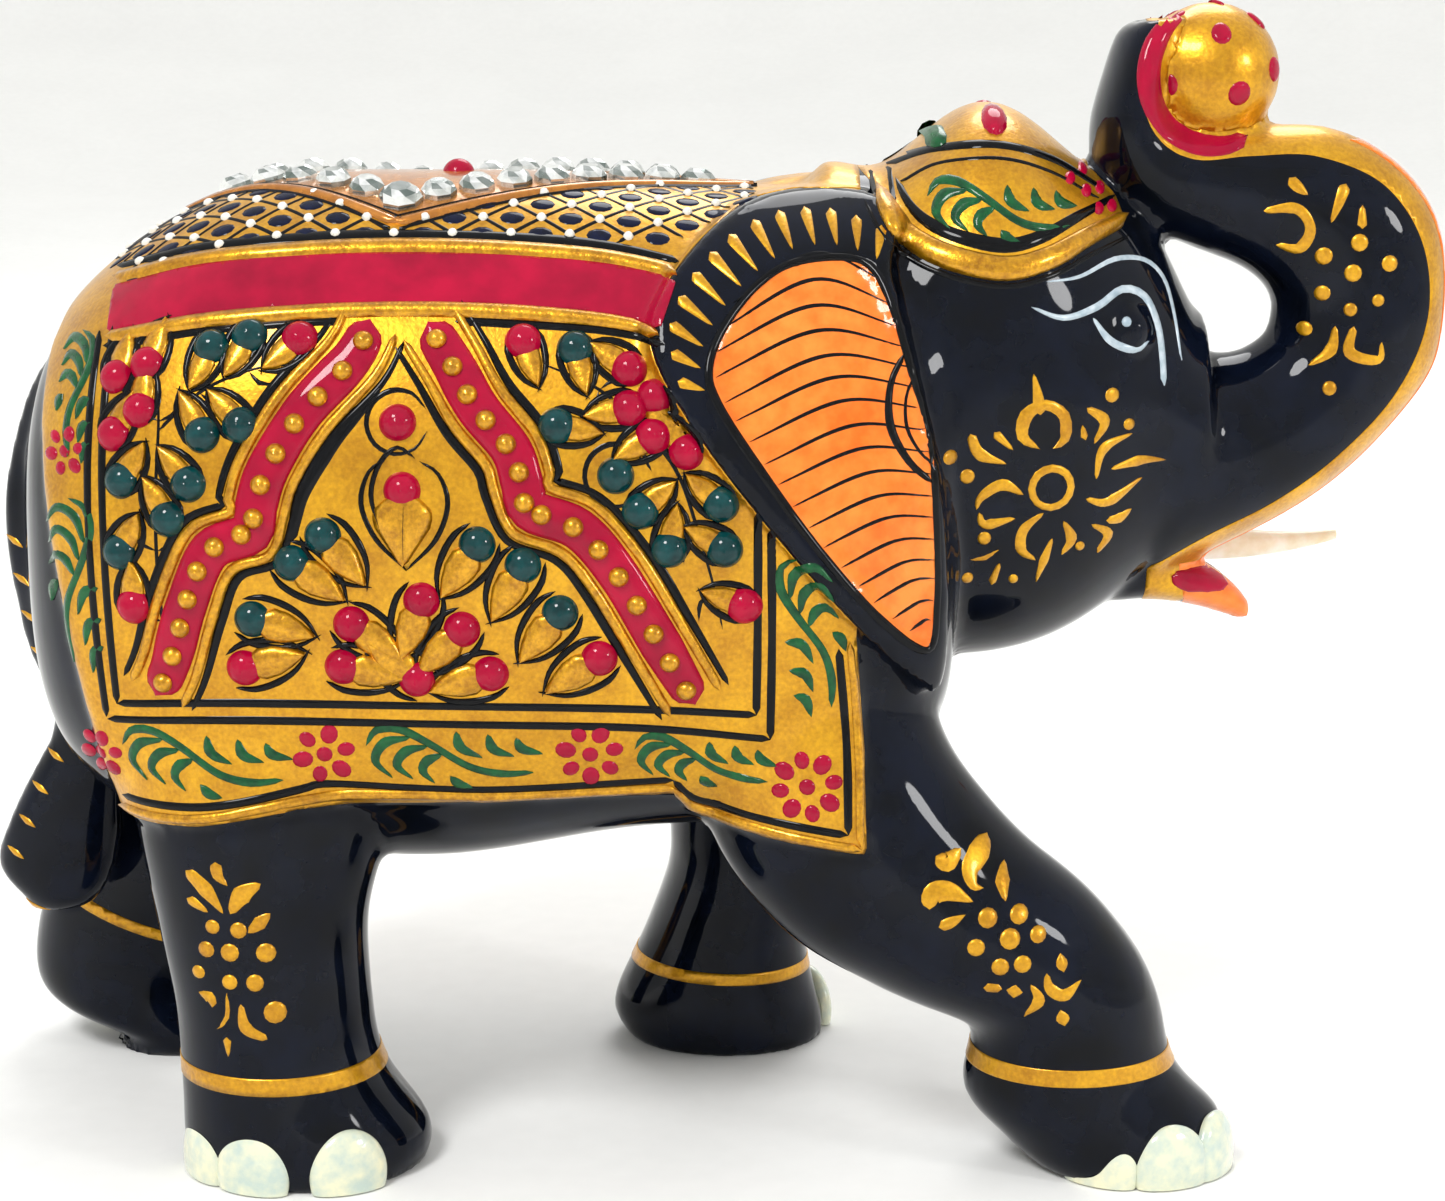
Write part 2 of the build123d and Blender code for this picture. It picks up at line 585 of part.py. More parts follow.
def save_toenails():
    """Three enamel nails on the outer side of each foot."""
    nails = []
    for ribs, angles in ((RIGHT_HIND, HIND_NAILS), (RIGHT_FRONT, FRONT_NAILS)):
        nails += toenails(ribs, angles)
    for ribs, angles in ((LEFT_HIND, HIND_NAILS), (LEFT_FRONT, FRONT_NAILS)):
        nails += toenails(ribs, [-angle for angle in angles])
    save("toenails", solids_of(nails))


def main():
    os.makedirs("parts", exist_ok=True)
    surface = torso(CLOTH_RELIEF + GLUE_GAP)
    save("body", body() - tusk_socket())
    save("tusk_left", tusk())
    save_crystals(surface)
    save_ribbons(surface, save_motifs(surface))
    save_toenails()


if __name__ == "__main__":
    main()
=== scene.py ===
"""Carved wooden elephant with painted saddle cloth, built round its CAD frame."""
import math
import random

import bmesh
import bpy
import numpy as np
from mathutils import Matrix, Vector
from mathutils.bvhtree import BVHTree


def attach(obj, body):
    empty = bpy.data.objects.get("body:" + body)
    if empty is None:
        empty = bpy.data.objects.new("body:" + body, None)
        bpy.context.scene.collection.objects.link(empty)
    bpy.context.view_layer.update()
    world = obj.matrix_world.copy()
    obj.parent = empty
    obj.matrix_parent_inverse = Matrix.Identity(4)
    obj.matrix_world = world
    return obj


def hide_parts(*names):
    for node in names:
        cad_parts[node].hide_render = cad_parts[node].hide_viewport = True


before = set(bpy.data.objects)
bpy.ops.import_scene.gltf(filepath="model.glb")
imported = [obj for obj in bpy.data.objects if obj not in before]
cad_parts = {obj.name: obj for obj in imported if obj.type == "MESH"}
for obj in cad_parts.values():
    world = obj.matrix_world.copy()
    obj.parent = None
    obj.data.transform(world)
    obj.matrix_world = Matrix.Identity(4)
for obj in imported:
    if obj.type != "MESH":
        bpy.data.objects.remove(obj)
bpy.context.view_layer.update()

bl_info = {
    "name": "Carved Wooden Elephant",
    "version": (1, 0, 0),
    "blender": (4, 5, 0),
    "location": "View3D > Sidebar > Elephant",
    "description": "Lacquered and painted elephant round its CAD frame",
    "category": "Object",
}

MM = 0.001
SIDES = (-1, 1)
PLAN_STEP = 0.7          # mm between the rows of a painted stroke
FLAT_CROSS = ((-1.0, -0.5), (0.0, 1.0), (1.0, -0.5))
ROUND_CROSS = ((-1.0, -0.5), (-0.72, 0.65), (0.0, 1.0), (0.72, 0.65), (1.0, -0.5))
WIDE_CROSS = (
    (-1.0, -0.5), (-0.9, 0.3), (-0.7, 0.68), (-0.4, 0.92), (0.0, 1.0), (0.4, 0.92), (0.7, 0.68), (0.9, 0.3), (1.0, -0.5),
)
NARROW = 0.75            # strokes narrower than this, in mm, need no round top
SHORT = 18               # strokes of fewer rows than this get twice as many
WIDE = 2.0               # and wider than this they need a rounder one
SOLE_LIFT = 0.3          # mm that smoothing lifts the soles; they are pressed flat again
SOLE_TOP = 1.5           # up to this height in mm
BACK_AXIS_Z = 66.0       # height in mm of the line that the back is wrapped round
BACK_RADIUS = 27.0

# Saddle cloth and its motifs in mm, seen from the right side as (x, z).
CLOTH = [
    (-62.2, 78.0), (-62.0, 72.0), (-61.0, 64.0), (-59.4, 55.0), (-57.6, 46.0), (-55.6, 35.6),
    (-47.0, 36.0), (-37.8, 37.6), (-19.0, 37.8), (-2.4, 38.2), (-1.0, 35.6), (14.9, 33.6),
    (14.6, 44.0), (13.8, 54.0), (13.8, 80.0), (15.0, 100.0), (-56.0, 100.0), (-61.0, 84.0),
]
BAND_TOP = [(-55.4, 84.6), (-46.7, 86.9), (-37.2, 87.9), (-28, 88.2), (-18.8, 88.0), (-9.6, 87.3), (-2.6, 86.0)]
BAND_BOTTOM = [(-4.0, 82.0), (-9.5, 83.0), (-18.6, 83.7), (-27.7, 83.9), (-36.8, 83.6), (-46.1, 82.7), (-55.2, 80.8)]
REAR_RIBBON = [
    (-30.2, 82.4), (-31.8, 79.3), (-36.1, 74.7), (-39.3, 69.6), (-40.4, 66.2), (-40.9, 63.9),
    (-44.7, 62.2), (-47.1, 57.0), (-48.8, 51.6), (-50.2, 48.6),
]
FRONT_RIBBON = [
    (-25.0, 82.2), (-22.7, 78.8), (-20.4, 75.0), (-17.4, 71.4), (-16.4, 68.4), (-15.6, 66.0),
    (-11.4, 64.3), (-8.0, 60.4), (-4.3, 54.1), (-0.9, 48.0),
]
# Enamel drops: x, z, and the direction in degrees of the petal that each one tips.
RED_DROPS = [
    (-32.0, 55.6, -35), (-25.6, 57.8, -110), (-22.0, 55.1, -135), (-32.9, 51.6, -10),
    (-26.2, 50.4, 140), (-19.5, 50.9, 195), (-41.9, 51.4, 15), (-9.6, 52.3, 212),
    (-36.6, 81.0, 220), (-50.8, 78.5, 65), (-53.8, 77.2, 70),
    (-51.3, 74.5, 80), (-53.8, 72.3, 60), (-52.1, 56.8, 90), (-16.4, 80.8, -70),
    (-6.8, 78.4, 150), (-6.8, 75.0, 190), (-4.5, 76.0, -80), (-4.6, 72.6, 210),
    (-1.6, 71.2, 125), (3.6, 57.2, 160),
]
GREEN_DROPS = [
    (-44.7, 80.2, 245), (-41.2, 81.2, 240), (-45.3, 72.6, 120), (-41.8, 73.5, 135),
    (-53.0, 68.2, 55), (-46.6, 68.2, 130), (-48.6, 65.0, 120), (-53.3, 61.7, 60),
    (-34.4, 63.7, -50), (-37.3, 61.2, -35), (-41.0, 56.0, -15), (-20.5, 62.9, 235),
    (-16.4, 61.0, 240), (-13.1, 56.6, 230), (-11.7, 80.2, -75), (-13.3, 73.5, -10),
    (-5.8, 65.9, 40), (1.5, 66.5, 140), (-3.2, 62.4, 80), (1.8, 62.4, 150),
]
RING_DROPS = [(-27.6, 73.8), (-8.0, 69.1)]
EAR_OUTLINE = [
    (14.5, 93.4), (8.0, 93.4), (3.2, 92.0), (-0.8, 89.0), (-3.8, 85.2), (-5.0, 81.9),
    (-4.0, 78.2), (-0.4, 72.5), (5.0, 65.4), (11.3, 58.0), (17.8, 50.9), (21.4, 48.0),
    (22.4, 53.2), (22.2, 61.0), (21.3, 68.4), (19.6, 75.7), (18.0, 82.7), (17.2, 88.0),
    (17.4, 92.0),
]
EAR_FACE = [
    (14.4, 87.6), (8.7, 87.6), (5.0, 85.8), (1.8, 82.2), (0.4, 78.7), (1.2, 75.6),
    (5.0, 69.8), (10.4, 62.4), (15.9, 56.0), (20.4, 52.6), (21.2, 57.2), (21.0, 64.7),
    (20.4, 72.0), (18.6, 78.3), (16.8, 84.2),
]
CAP_RIDGE = [(16.2, 93.4), (17.4, 91.0), (19.6, 89.0), (23.0, 87.6), (27.6, 86.8), (31.6, 87.6), (35.4, 89.2), (39.6, 90.6)]
CAP_CROWN = [(39.0, 92.6), (36.8, 95.0), (36.4, 99.0), (30.0, 106.0), (14.6, 106.0), (14.6, 95.0)]
TRUNK_EDGE = [
    (45.0, 54.6), (50.1, 57.4), (56.6, 60.6), (63.1, 65.4), (69.0, 72.0), (72.3, 80.6), (71.2, 89.0),
    (66.4, 95.6), (58.8, 98.8), (51.6, 98.9), (46.8, 98.6), (44.4, 100.4), (44.0, 103.6),
    (45.0, 106.8), (46.0, 109.4),
]
BALL = (48.5, 0.0, 103.8)
BALL_RADIUS = 6.7
BALL_DOTS = [
    (-150, 51), (-60, 84), (-88, 36), (-22, 49), (-31, 4), (-72, -15), (-135, -8),
    (150, 51), (88, 36), (31, 6), (72, -15), (135, -8), (165, 20),
]
EYE_LINES = [
    ([(29.9, 83.3), (33.0, 82.2), (36.3, 83.0), (38.9, 84.4), (41.2, 83.6), (42.5, 81.0), (43.0, 78.0), (43.2, 75.2)],
     [0.25, 0.6, 0.8, 0.8, 0.75, 0.75, 0.7]),
    ([(31.3, 85.5), (34.6, 85.8), (38.2, 87.1), (41.4, 86.8), (43.4, 85.0), (44.3, 82.0), (45.0, 77.4)],
     [0.2, 0.5, 0.7, 0.6, 0.6, 0.5, 0.3]),
    ([(35.9, 82.0), (37.7, 79.8), (40.2, 78.8), (41.4, 79.6)], [0.3, 0.8, 0.85, 0.3]),
]
DIAMOND = [(-45.5, 0.0), (-28.5, -11.0), (-0.8, 0.0), (-28.5, 11.0)]


# --- materials ---------------------------------------------------------------

def linear(code):
    """An sRGB hex value such as D4083C as a linear colour."""
    parts = [int(code[i:i + 2], 16) / 255 for i in (0, 2, 4)]
    return tuple(c / 12.92 if c <= 0.04045 else ((c + 0.055) / 1.055) ** 2.4 for c in parts) + (1.0,)


def add(tree, kind, inputs=None, **settings):
    """Add one node with its settings; inputs are values, or sockets to link."""
    made = tree.nodes.new("ShaderNode" + kind)
    for name, value in settings.items():
        setattr(made, name, value)
    for socket, value in (inputs or {}).items():
        if isinstance(value, bpy.types.NodeSocket):
            tree.links.new(value, made.inputs[socket])
        else:
            made.inputs[socket].default_value = value
    return made


def new_material(name):
    """An empty node material; returns it with its tree and output node."""
    material = bpy.data.materials.new(name)
    material.use_nodes = True
    material.node_tree.nodes.clear()
    tree = material.node_tree
    return material, tree, add(tree, "OutputMaterial")


def brushed_paint(name, dark, light, patch_mm, bump_mm, depth, roughness, **shader):
    """A brushed or dipped coat: two tones in patches, grain of bump_mm, over slow hand waviness."""
    material, tree, output = new_material(name)
    where = add(tree, "TexCoord").outputs["Object"]
    patches = add(tree, "TexNoise", {"Vector": where, "Scale": 1000 / patch_mm, "Detail": 4.0, "Roughness": 0.6})
    grain = add(tree, "TexNoise", {"Vector": where, "Scale": 1000 / bump_mm, "Detail": 3.0})
    blend = add(tree, "Mix", {0: 0.4, 2: patches.outputs[0], 3: grain.outputs[0]}, data_type="FLOAT")
    spread = add(tree, "MapRange", {"Value": blend.outputs[0], "From Min": 0.36, "From Max": 0.64})
    tone = add(tree, "Mix", {"Factor": spread.outputs[0], 6: linear(dark), 7: linear(light)}, data_type="RGBA")
    swell = add(tree, "Bump", {"Strength": 1.0, "Distance": depth * 2.5 * MM, "Height": patches.outputs[0]})
    bump = add(tree, "Bump", {
        "Strength": 1.0, "Distance": depth * MM, "Height": grain.outputs[0], "Normal": swell.outputs[0],
    })
    gloss = add(tree, "MapRange", {
        "Value": patches.outputs[0], "To Min": roughness * 0.8, "To Max": roughness * 1.25,
    })
    inputs = {"Base Color": tone.outputs[2], "Roughness": gloss.outputs[0], "Normal": bump.outputs[0]}
    inputs.update({key.replace("_", " "): value for key, value in shader.items()})
    surface = add(tree, "BsdfPrincipled", inputs)
    tree.links.new(surface.outputs[0], output.inputs[0])
    return material


MATERIALS = {
    # Shellac-and-soot lacquer dipped over carved wood: deep, wet gloss that shows the carver's slow facets.
    "black_lacquer": ("04060B", "0B1120", 9, 3.2, 0.14, 0.12, {
        "Specular_IOR_Level": 0.0, "Coat_Weight": 1.0, "Coat_IOR": 1.27, "Coat_Roughness": 0.04,
    }),
    # Bronze powder in varnish, brushed: fine sparkle, satin, patchy where it is thin.
    "brushed_gold_paint": ("B47A06", "E0A616", 5, 0.4, 0.035, 0.36, {
        "Metallic": 0.72, "Coat_Weight": 0.35, "Coat_Roughness": 0.12,
    }),
    # The same powder laid on thick from a cone: rounder, brighter on its crests.
    "raised_gold_paint": ("A87006", "DCA018", 1.6, 0.4, 0.03, 0.3, {
        "Metallic": 0.76, "Coat_Weight": 0.45, "Coat_Roughness": 0.1,
    }),
    # Alkyd enamel, flowed on in one coat: smooth and wet, a little deeper where it pools.
    "crimson_gloss": ("8E032A", "B00634", 9, 2.5, 0.03, 0.16, {
        "Specular_IOR_Level": 0.0, "Coat_Weight": 0.8, "Coat_IOR": 1.36, "Coat_Roughness": 0.04,
    }),
    # The same enamel in green, dropped on as beads: almost black in the shade.
    "teal_gloss": ("02282A", "064244", 2, 1.2, 0.02, 0.12, {
        "Specular_IOR_Level": 0.0, "Coat_Weight": 1.0, "Coat_IOR": 1.38, "Coat_Roughness": 0.03,
    }),
    # Orange enamel brushed thin over the lacquer: streaky, warmer where it is thick.
    "orange_gloss": ("EA6410", "FA8A34", 7, 1.6, 0.04, 0.2, {
        "Specular_IOR_Level": 0.1, "Coat_Weight": 0.8, "Coat_IOR": 1.38, "Coat_Roughness": 0.05,
    }),
    # Gold powder in orange varnish: a darker, browner metal.
    "amber_gold_paint": ("A2600E", "C88024", 3, 0.8, 0.03, 0.26, {
        "Metallic": 0.5, "Coat_Weight": 0.6, "Coat_Roughness": 0.08,
    }),
    # Green poster paint under varnish, from a fine brush: even and glossy.
    "leaf_green_paint": ("073820", "125C30", 2, 0.8, 0.03, 0.24, {
        "Specular_IOR_Level": 0.1, "Coat_Weight": 0.6, "Coat_IOR": 1.38, "Coat_Roughness": 0.08,
    }),
    # Lamp-black in varnish, drawn with a liner: slightly raised, satin edges.
    "line_black_paint": ("050506", "0C0E12", 2, 0.7, 0.02, 0.2, {
        "Specular_IOR_Level": 0.0, "Coat_Weight": 0.6, "Coat_IOR": 1.36, "Coat_Roughness": 0.08,
    }),
    # Blue-black paint dabbed in the lattice: a shade bluer than the lines.
    "navy_paint": ("060A1C", "0E1634", 1.5, 0.7, 0.02, 0.24, {
        "Specular_IOR_Level": 0.0, "Coat_Weight": 0.6, "Coat_IOR": 1.36, "Coat_Roughness": 0.08,
    }),
    # White with a little blue, thin over black: chalky and uneven.
    "pale_blue_paint": ("8FA3B0", "C4D0D8", 2, 0.7, 0.02, 0.3, {"Coat_Weight": 0.5, "Coat_Roughness": 0.1}),
    # Titanium white in raised dots: bright, with a soft gloss.
    "white_paint": ("D8D6CC", "F2F1EA", 1.5, 0.7, 0.02, 0.3, {"Coat_Weight": 0.5, "Coat_Roughness": 0.1}),
    # Thick enamel on the nails: mint to pale yellow, with brush drag.
    "nail_gloss": ("BCCCC2", "ECE8C4", 3.2, 1.2, 0.06, 0.16, {"Coat_Weight": 0.8, "Coat_Roughness": 0.05}),
    # Cast polyester tusk: waxy, faintly translucent, cloudy along its length.
    "cast_ivory_resin": ("E2D2AE", "FAF5EA", 5, 2.0, 0.03, 0.3, {
        "Coat_Weight": 0.3, "Subsurface_Weight": 0.25, "Subsurface_Scale": 0.004,
    }),
    # Matt paper sweep under and behind the piece.
    "paper_sweep": ("F6F6F4", "FAFAF8", 60, 3, 0.02, 0.85, {}),
}


def cut_glass():
    """Machine-cut lead glass on silver foil, with painted reflections: each cut face gets a lighter or a darker base
    colour that stands in for the part of the room it mirrors.
    """
    material, tree, output = new_material("foiled_crystal_painted_reflections")
    painted_reflection = add(tree, "Attribute", attribute_name="painted_reflection").outputs["Fac"]
    where = add(tree, "TexCoord").outputs["Object"]
    foil = add(tree, "TexNoise", {"Vector": where, "Scale": 1000 / 1.5, "Detail": 2.0})
    share = add(tree, "Math", {0: painted_reflection, 1: foil.outputs[0]}, operation="MULTIPLY_ADD")
    share.inputs[2].default_value = -0.1
    # Painted reflections: the base colour runs from dark grey to white, face by face.
    tone = add(tree, "Mix", {"Factor": share.outputs[0], 6: linear("66746E"), 7: linear("FDFFFD")}, data_type="RGBA")
    ripple = add(tree, "Bump", {"Strength": 1.0, "Distance": 0.01 * MM, "Height": foil.outputs[0]})
    surface = add(tree, "BsdfPrincipled", {
        "Base Color": tone.outputs[2], "Normal": ripple.outputs[0], "Metallic": 0.8, "Roughness": 0.08,
        "Coat Weight": 1.0, "Coat Roughness": 0.02,
    })
    tree.links.new(surface.outputs[0], output.inputs[0])
    return material


def material(name):
    """The named material, made the first time it is asked for."""
    made = bpy.data.materials.get(name)
    if made is None and name == "foiled_crystal_painted_reflections":
        return cut_glass()
    if made is None:
        dark, light, patch, ripple, depth, roughness, shader = MATERIALS[name]
        made = brushed_paint(name, dark, light, patch, ripple, depth, roughness, **shader)
    return made


# --- the skin of the carving and the paint on it ------------------------------

SKIN = {}


def read_skin(carving):
    """Keep the carving's vertices, triangles and a ray tree for the painting."""
    mesh = carving.data
    mesh.calc_loop_triangles()
    count = len(mesh.vertices)
    points = np.empty(count * 3)
    normals = np.empty(count * 3)
    mesh.vertices.foreach_get("co", points)
    mesh.vertices.foreach_get("normal", normals)
    corners = np.empty(len(mesh.loop_triangles) * 3, int)
    mesh.loop_triangles.foreach_get("vertices", corners)
    SKIN["points"] = points.reshape(-1, 3) / MM
    SKIN["normals"] = normals.reshape(-1, 3)
    SKIN["triangles"] = corners.reshape(-1, 3)
    SKIN["tree"] = BVHTree.FromPolygons(
        [Vector(p) for p in SKIN["points"]], [tuple(map(int, t)) for t in SKIN["triangles"]]
    )


def cast(start, direction):
    """Where a ray in mm meets the skin, and the outward normal there."""
    point, normal, face, distance = SKIN["tree"].ray_cast(Vector(start), Vector(direction))
    return None if point is None else (point, normal)


def on_side(side):
    """Places plan points (x, z) on the right (-1) or left (1) flank."""
    return lambda x, z: cast((x, side * 60, z), (0, -side, 0))


def on_back(x, along):
    """A plan point on the back: along is measured over it from the middle line."""
    angle = along / BACK_RADIUS
    return cast((x, 0, BACK_AXIS_Z), (0, math.sin(angle), math.cos(angle)))


def on_front(y, z):
    """A plan point (y, z) on what is seen from ahead."""
    return cast((100, y, z), (-1, 0, 0))


def on_top(x, y):
    """A plan point (x, y) on what is seen from above."""
    return cast((x, y, 150), (0, 0, -1))


def on_ball(turn, rise):
    """A point of the ball at degrees round from ahead and degrees up."""
    a, e = math.radians(turn), math.radians(rise)
    way = Vector((math.cos(a) * math.cos(e), math.sin(a) * math.cos(e), math.sin(e)))
    return Vector(BALL) + way * BALL_RADIUS, way


def smooth_line(path, step=PLAN_STEP, closed=False):
    """Plan points at an even step along a smooth curve through the path."""
    if len(path) == 2:
        a, b = Vector(path[0]), Vector(path[1])
        count = max(2, round((b - a).length / step))
        return [a.lerp(b, i / count) for i in range(count + 1)]
    knots = [Vector(p) for p in path]
    if closed:
        knots = [knots[-1]] + knots + knots[:2]
    else:
        knots = [knots[0] * 2 - knots[1]] + knots + [knots[-1] * 2 - knots[-2]]
    line = []
    for a, b, c, d in zip(knots, knots[1:], knots[2:], knots[3:]):
        count = max(1, round((c - b).length / step))
        for i in range(count):
            t = i / count
            line.append(
                (b * 2 + (c - a) * t + (a * 2 - b * 5 + c * 4 - d) * t**2 + (b * 3 - a - c * 3 + d) * t**3) / 2
            )
    if not closed:
        line.append(knots[-2].copy())
    return line


def at_share(values, share):
    """The value at a share of the way along evenly spaced values."""
    where = share * (len(values) - 1)
    low = min(int(where), len(values) - 2)
    return values[low] + (values[low + 1] - values[low]) * (where - low)


class Film:
    """Strokes and dots of one paint, gathered into one mesh."""

    def __init__(self, base=0.0):
        self.points, self.faces, self.outward = [], [], []
        self.base = base        # mm of paint already under these strokes

    def put(self, place, spot, rise):
        """Add a vertex that stands rise mm off the skin; None off the edge."""
        hit = place(*spot)
        if hit is None:
            return None
        self.points.append(hit[0] + hit[1] * (self.base + rise))
        self.outward.append(hit[1])
        return len(self.points) - 1

    def span(self, before, after):
        """Faces between two rows of vertices, where both are on the skin."""
        for a, b, c, d in zip(before, before[1:], after[1:], after):
            if None not in (a, b, c, d):
                self.faces.append((a, b, c, d))

    def stroke(self, place, path, widths, height=0.14, closed=False):
        """A brush stroke of changing width along a plan path."""
        line = smooth_line(path, closed=closed)
        widest = max(widths)
        if widest > NARROW and len(line) < SHORT and not closed:
            line = smooth_line(path, step=PLAN_STEP / 2)
        from_start = [0.0]
        for a, b in zip(line, line[1:]):
            from_start.append(from_start[-1] + (b - a).length)
        cross = FLAT_CROSS if widest < NARROW else ROUND_CROSS if widest < WIDE else WIDE_CROSS
        rows = []
        last = len(line) - 1
        for i, spot in enumerate(line):
            share = i / last
            before = line[i - 1] if i or closed else line[0]
            after = line[(i + 1) % len(line)] if i < last or closed else line[-1]
            run = (after - before).normalized()
            half = at_share(widths, share) / 2
            from_end = min(from_start[i], from_start[-1] - from_start[i])
            if from_end < half and not closed:
                half *= math.sqrt(1 - (1 - from_end / half) ** 2) + 0.02
            across = Vector((-run.y, run.x)) * half
            rows.append([self.put(place, spot + across * side, rise * height) for side, rise in cross])
        for before, after in zip(rows, rows[1:]):
            self.span(before, after)
        if closed:
            self.span(rows[-1], rows[0])

    def dot(self, place, spot, radius, height=0.22, stretch=1.0, turn=0.0, corners=12):
        """A round or oval dab of paint, domed."""
        spot = Vector(spot)
        c, s = math.cos(math.radians(turn)), math.sin(math.radians(turn))
        middle = self.put(place, spot, height)
        rings = []
        for share, rise in ((0.6, 0.8), (0.9, 0.35), (1.0, -0.5)):
            ring = []
            for i in range(corners):
                angle = 2 * math.pi * i / corners
                u, v = math.cos(angle) * radius * share * stretch, math.sin(angle) * radius * share
                ring.append(self.put(place, spot + Vector((u * c - v * s, u * s + v * c)), rise * height))
            rings.append(ring + ring[:1])
        if middle is not None:
            for a, b in zip(rings[0], rings[0][1:]):
                if a is not None and b is not None:
                    self.faces.append((middle, a, b))
        for inner, outer in zip(rings, rings[1:]):
            self.span(inner, outer)

    def piece(self, name, paint, slot):
        """Turn the film into a finished piece of the object."""
        faces = []
        for face in self.faces:
            a, b, c = (self.points[i] for i in face[:3])
            away = (b - a).cross(c - a).dot(self.outward[face[0]])
            faces.append(face if away >= 0 else face[::-1])
        return new_piece(name, self.points, faces, paint)


def new_piece(name, points, faces, paint):
    """A smooth-shaded piece from points in mm, riding on the object."""
    mesh = bpy.data.meshes.new(name)
    mesh.from_pydata([tuple(c * MM for c in p) for p in points], [], faces)
    mesh.validate()
    mesh.shade_smooth()
    mesh.materials.append(material(paint))
    made = bpy.data.objects.new(name, mesh)
    bpy.context.scene.collection.objects.link(made)
    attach(made, "root")
    return made


def within(outline, columns=(0, 2)):
    """Signed distance in mm of the skin's points inside a closed outline."""
    plan = SKIN["points"][:, columns]
    near = np.full(len(plan), 1e9)
    inside = np.zeros(len(plan), bool)
    corners = [np.array(tuple(p)) for p in outline]
    for p, q in zip(corners, corners[1:] + corners[:1]):
        edge, reach = q - p, plan - p
        share = np.clip(reach @ edge / (edge @ edge), 0, 1)
        near = np.minimum(near, np.hypot(*(reach - share[:, None] * edge).T))
        level = plan[:, 1]
        meets = (p[1] > level) != (q[1] > level)
        rise = q[1] - p[1] if abs(q[1] - p[1]) > 1e-9 else 1e-9
        inside ^= meets & (plan[:, 0] < (q[0] - p[0]) * (level - p[1]) / rise + p[0])
    return np.where(inside, near, -near)


def near_line(path, columns=(0, 2)):
    """Distance in mm of the skin's points from an open line."""
    plan = SKIN["points"][:, columns]
    near = np.full(len(plan), 1e9)
    for p, q in zip(path, path[1:]):
        p, q = np.array(tuple(p)), np.array(tuple(q))
        edge, reach = q - p, plan - p
        share = np.clip(reach @ edge / (edge @ edge), 0, 1)
        near = np.minimum(near, np.hypot(*(reach - share[:, None] * edge).T))
    return near


def painted_area(name, fields, lift, paint):
    """The skin where every field is positive, lifted by a film of paint."""
    values = np.stack(fields, 1)
    corners = SKIN["triangles"]
    wanted = np.all(values[corners].max(axis=1) > 0, axis=1)
    faces = [tuple(map(int, t)) for t in corners[wanted]]
    points = {}
    extra = []

    def known(i):
        """Place, normal and field values of a vertex, old or new."""
        if i < 0:
            return extra[-1 - i]
        if i not in points:
            points[i] = (SKIN["points"][i], SKIN["normals"][i], values[i])
        return points[i]

    for k in range(values.shape[1]):
        cuts = {}
        kept = []
        for face in faces:
            levels = [known(i)[2][k] for i in face]
            if min(levels) >= 0:
                kept.append(face)
                continue
            if max(levels) <= 0:
                continue
            clipped = []
            for n, i in enumerate(face):
                j = face[(n + 1) % len(face)]
                a, b = levels[n], levels[(n + 1) % len(face)]
                if a >= 0:
                    clipped.append(i)
                if (a >= 0) != (b >= 0):
                    key = (min(i, j), max(i, j))
                    if key not in cuts:
                        low, high = known(key[0]), known(key[1])
                        t = low[2][k] / (low[2][k] - high[2][k])
                        extra.append(tuple(x + (y - x) * t for x, y in zip(low, high)))
                        cuts[key] = -len(extra)
                    clipped.append(cuts[key])
            if len(clipped) >= 3:
                kept.append(tuple(clipped))
        faces = kept
    used = {}
    verts = []
    for face in faces:
        for i in face:
            if i not in used:
                used[i] = len(verts)
                place, normal, field = known(i)
                verts.append(place + normal * lift)
    made = [tuple(used[i] for i in face) for face in faces]
    edges = {}
    for face in made:
        for a, b in zip(face, face[1:] + face[:1]):
            edges[(a, b)] = True
    sources = {new: old for old, new in used.items()}
    sunk = {}
    for a, b in list(edges):
        if (b, a) in edges:
            continue
        for i in (a, b):
            if i not in sunk:
                place, normal, field = known(sources[i])
                sunk[i] = len(verts)
                verts.append(place - normal * 0.12)
        made.append((b, a, sunk[a], sunk[b]))
    return new_piece(name, verts, made, paint)


def deselect():
    """Leave nothing selected, in object mode."""
    if bpy.context.object and bpy.context.object.mode != "OBJECT":
        bpy.ops.object.mode_set(mode="OBJECT")
    bpy.ops.object.select_all(action="DESELECT")


def make_active(piece):
    """Select one object alone and make it active."""
    deselect()
    piece.select_set(True)
    bpy.context.view_layer.objects.active = piece


def apply_modifier(piece, kind, **settings):
    """Add one modifier and apply it."""
    make_active(piece)
    made = piece.modifiers.new(kind.lower(), kind)
    for name, value in settings.items():
        setattr(made, name, value)
    bpy.ops.object.modifier_apply(modifier=made.name)


# --- settings -----------------------------------------------------------------

class ElephantSettings(bpy.types.PropertyGroup):
    """Sizes that a user would change."""
    voxel: bpy.props.FloatProperty(
        name="Voxel", description="Grain of the remeshed carving", default=0.72 * MM, unit="LENGTH",
    )
    outline: bpy.props.FloatProperty(
        name="Outline", description="Width of the black drawn lines", default=0.8 * MM, unit="LENGTH",
    )
    lattice: bpy.props.FloatProperty(
        name="Lattice", description="Length of one diamond of the back lattice", default=5.4 * MM, unit="LENGTH",
    )
    sweep: bpy.props.FloatVectorProperty(
        name="Sweep", description="World light colour", default=(1.0, 1.0, 1.0), size=3, subtype="COLOR",
    )


# --- pieces -------------------------------------------------------------------

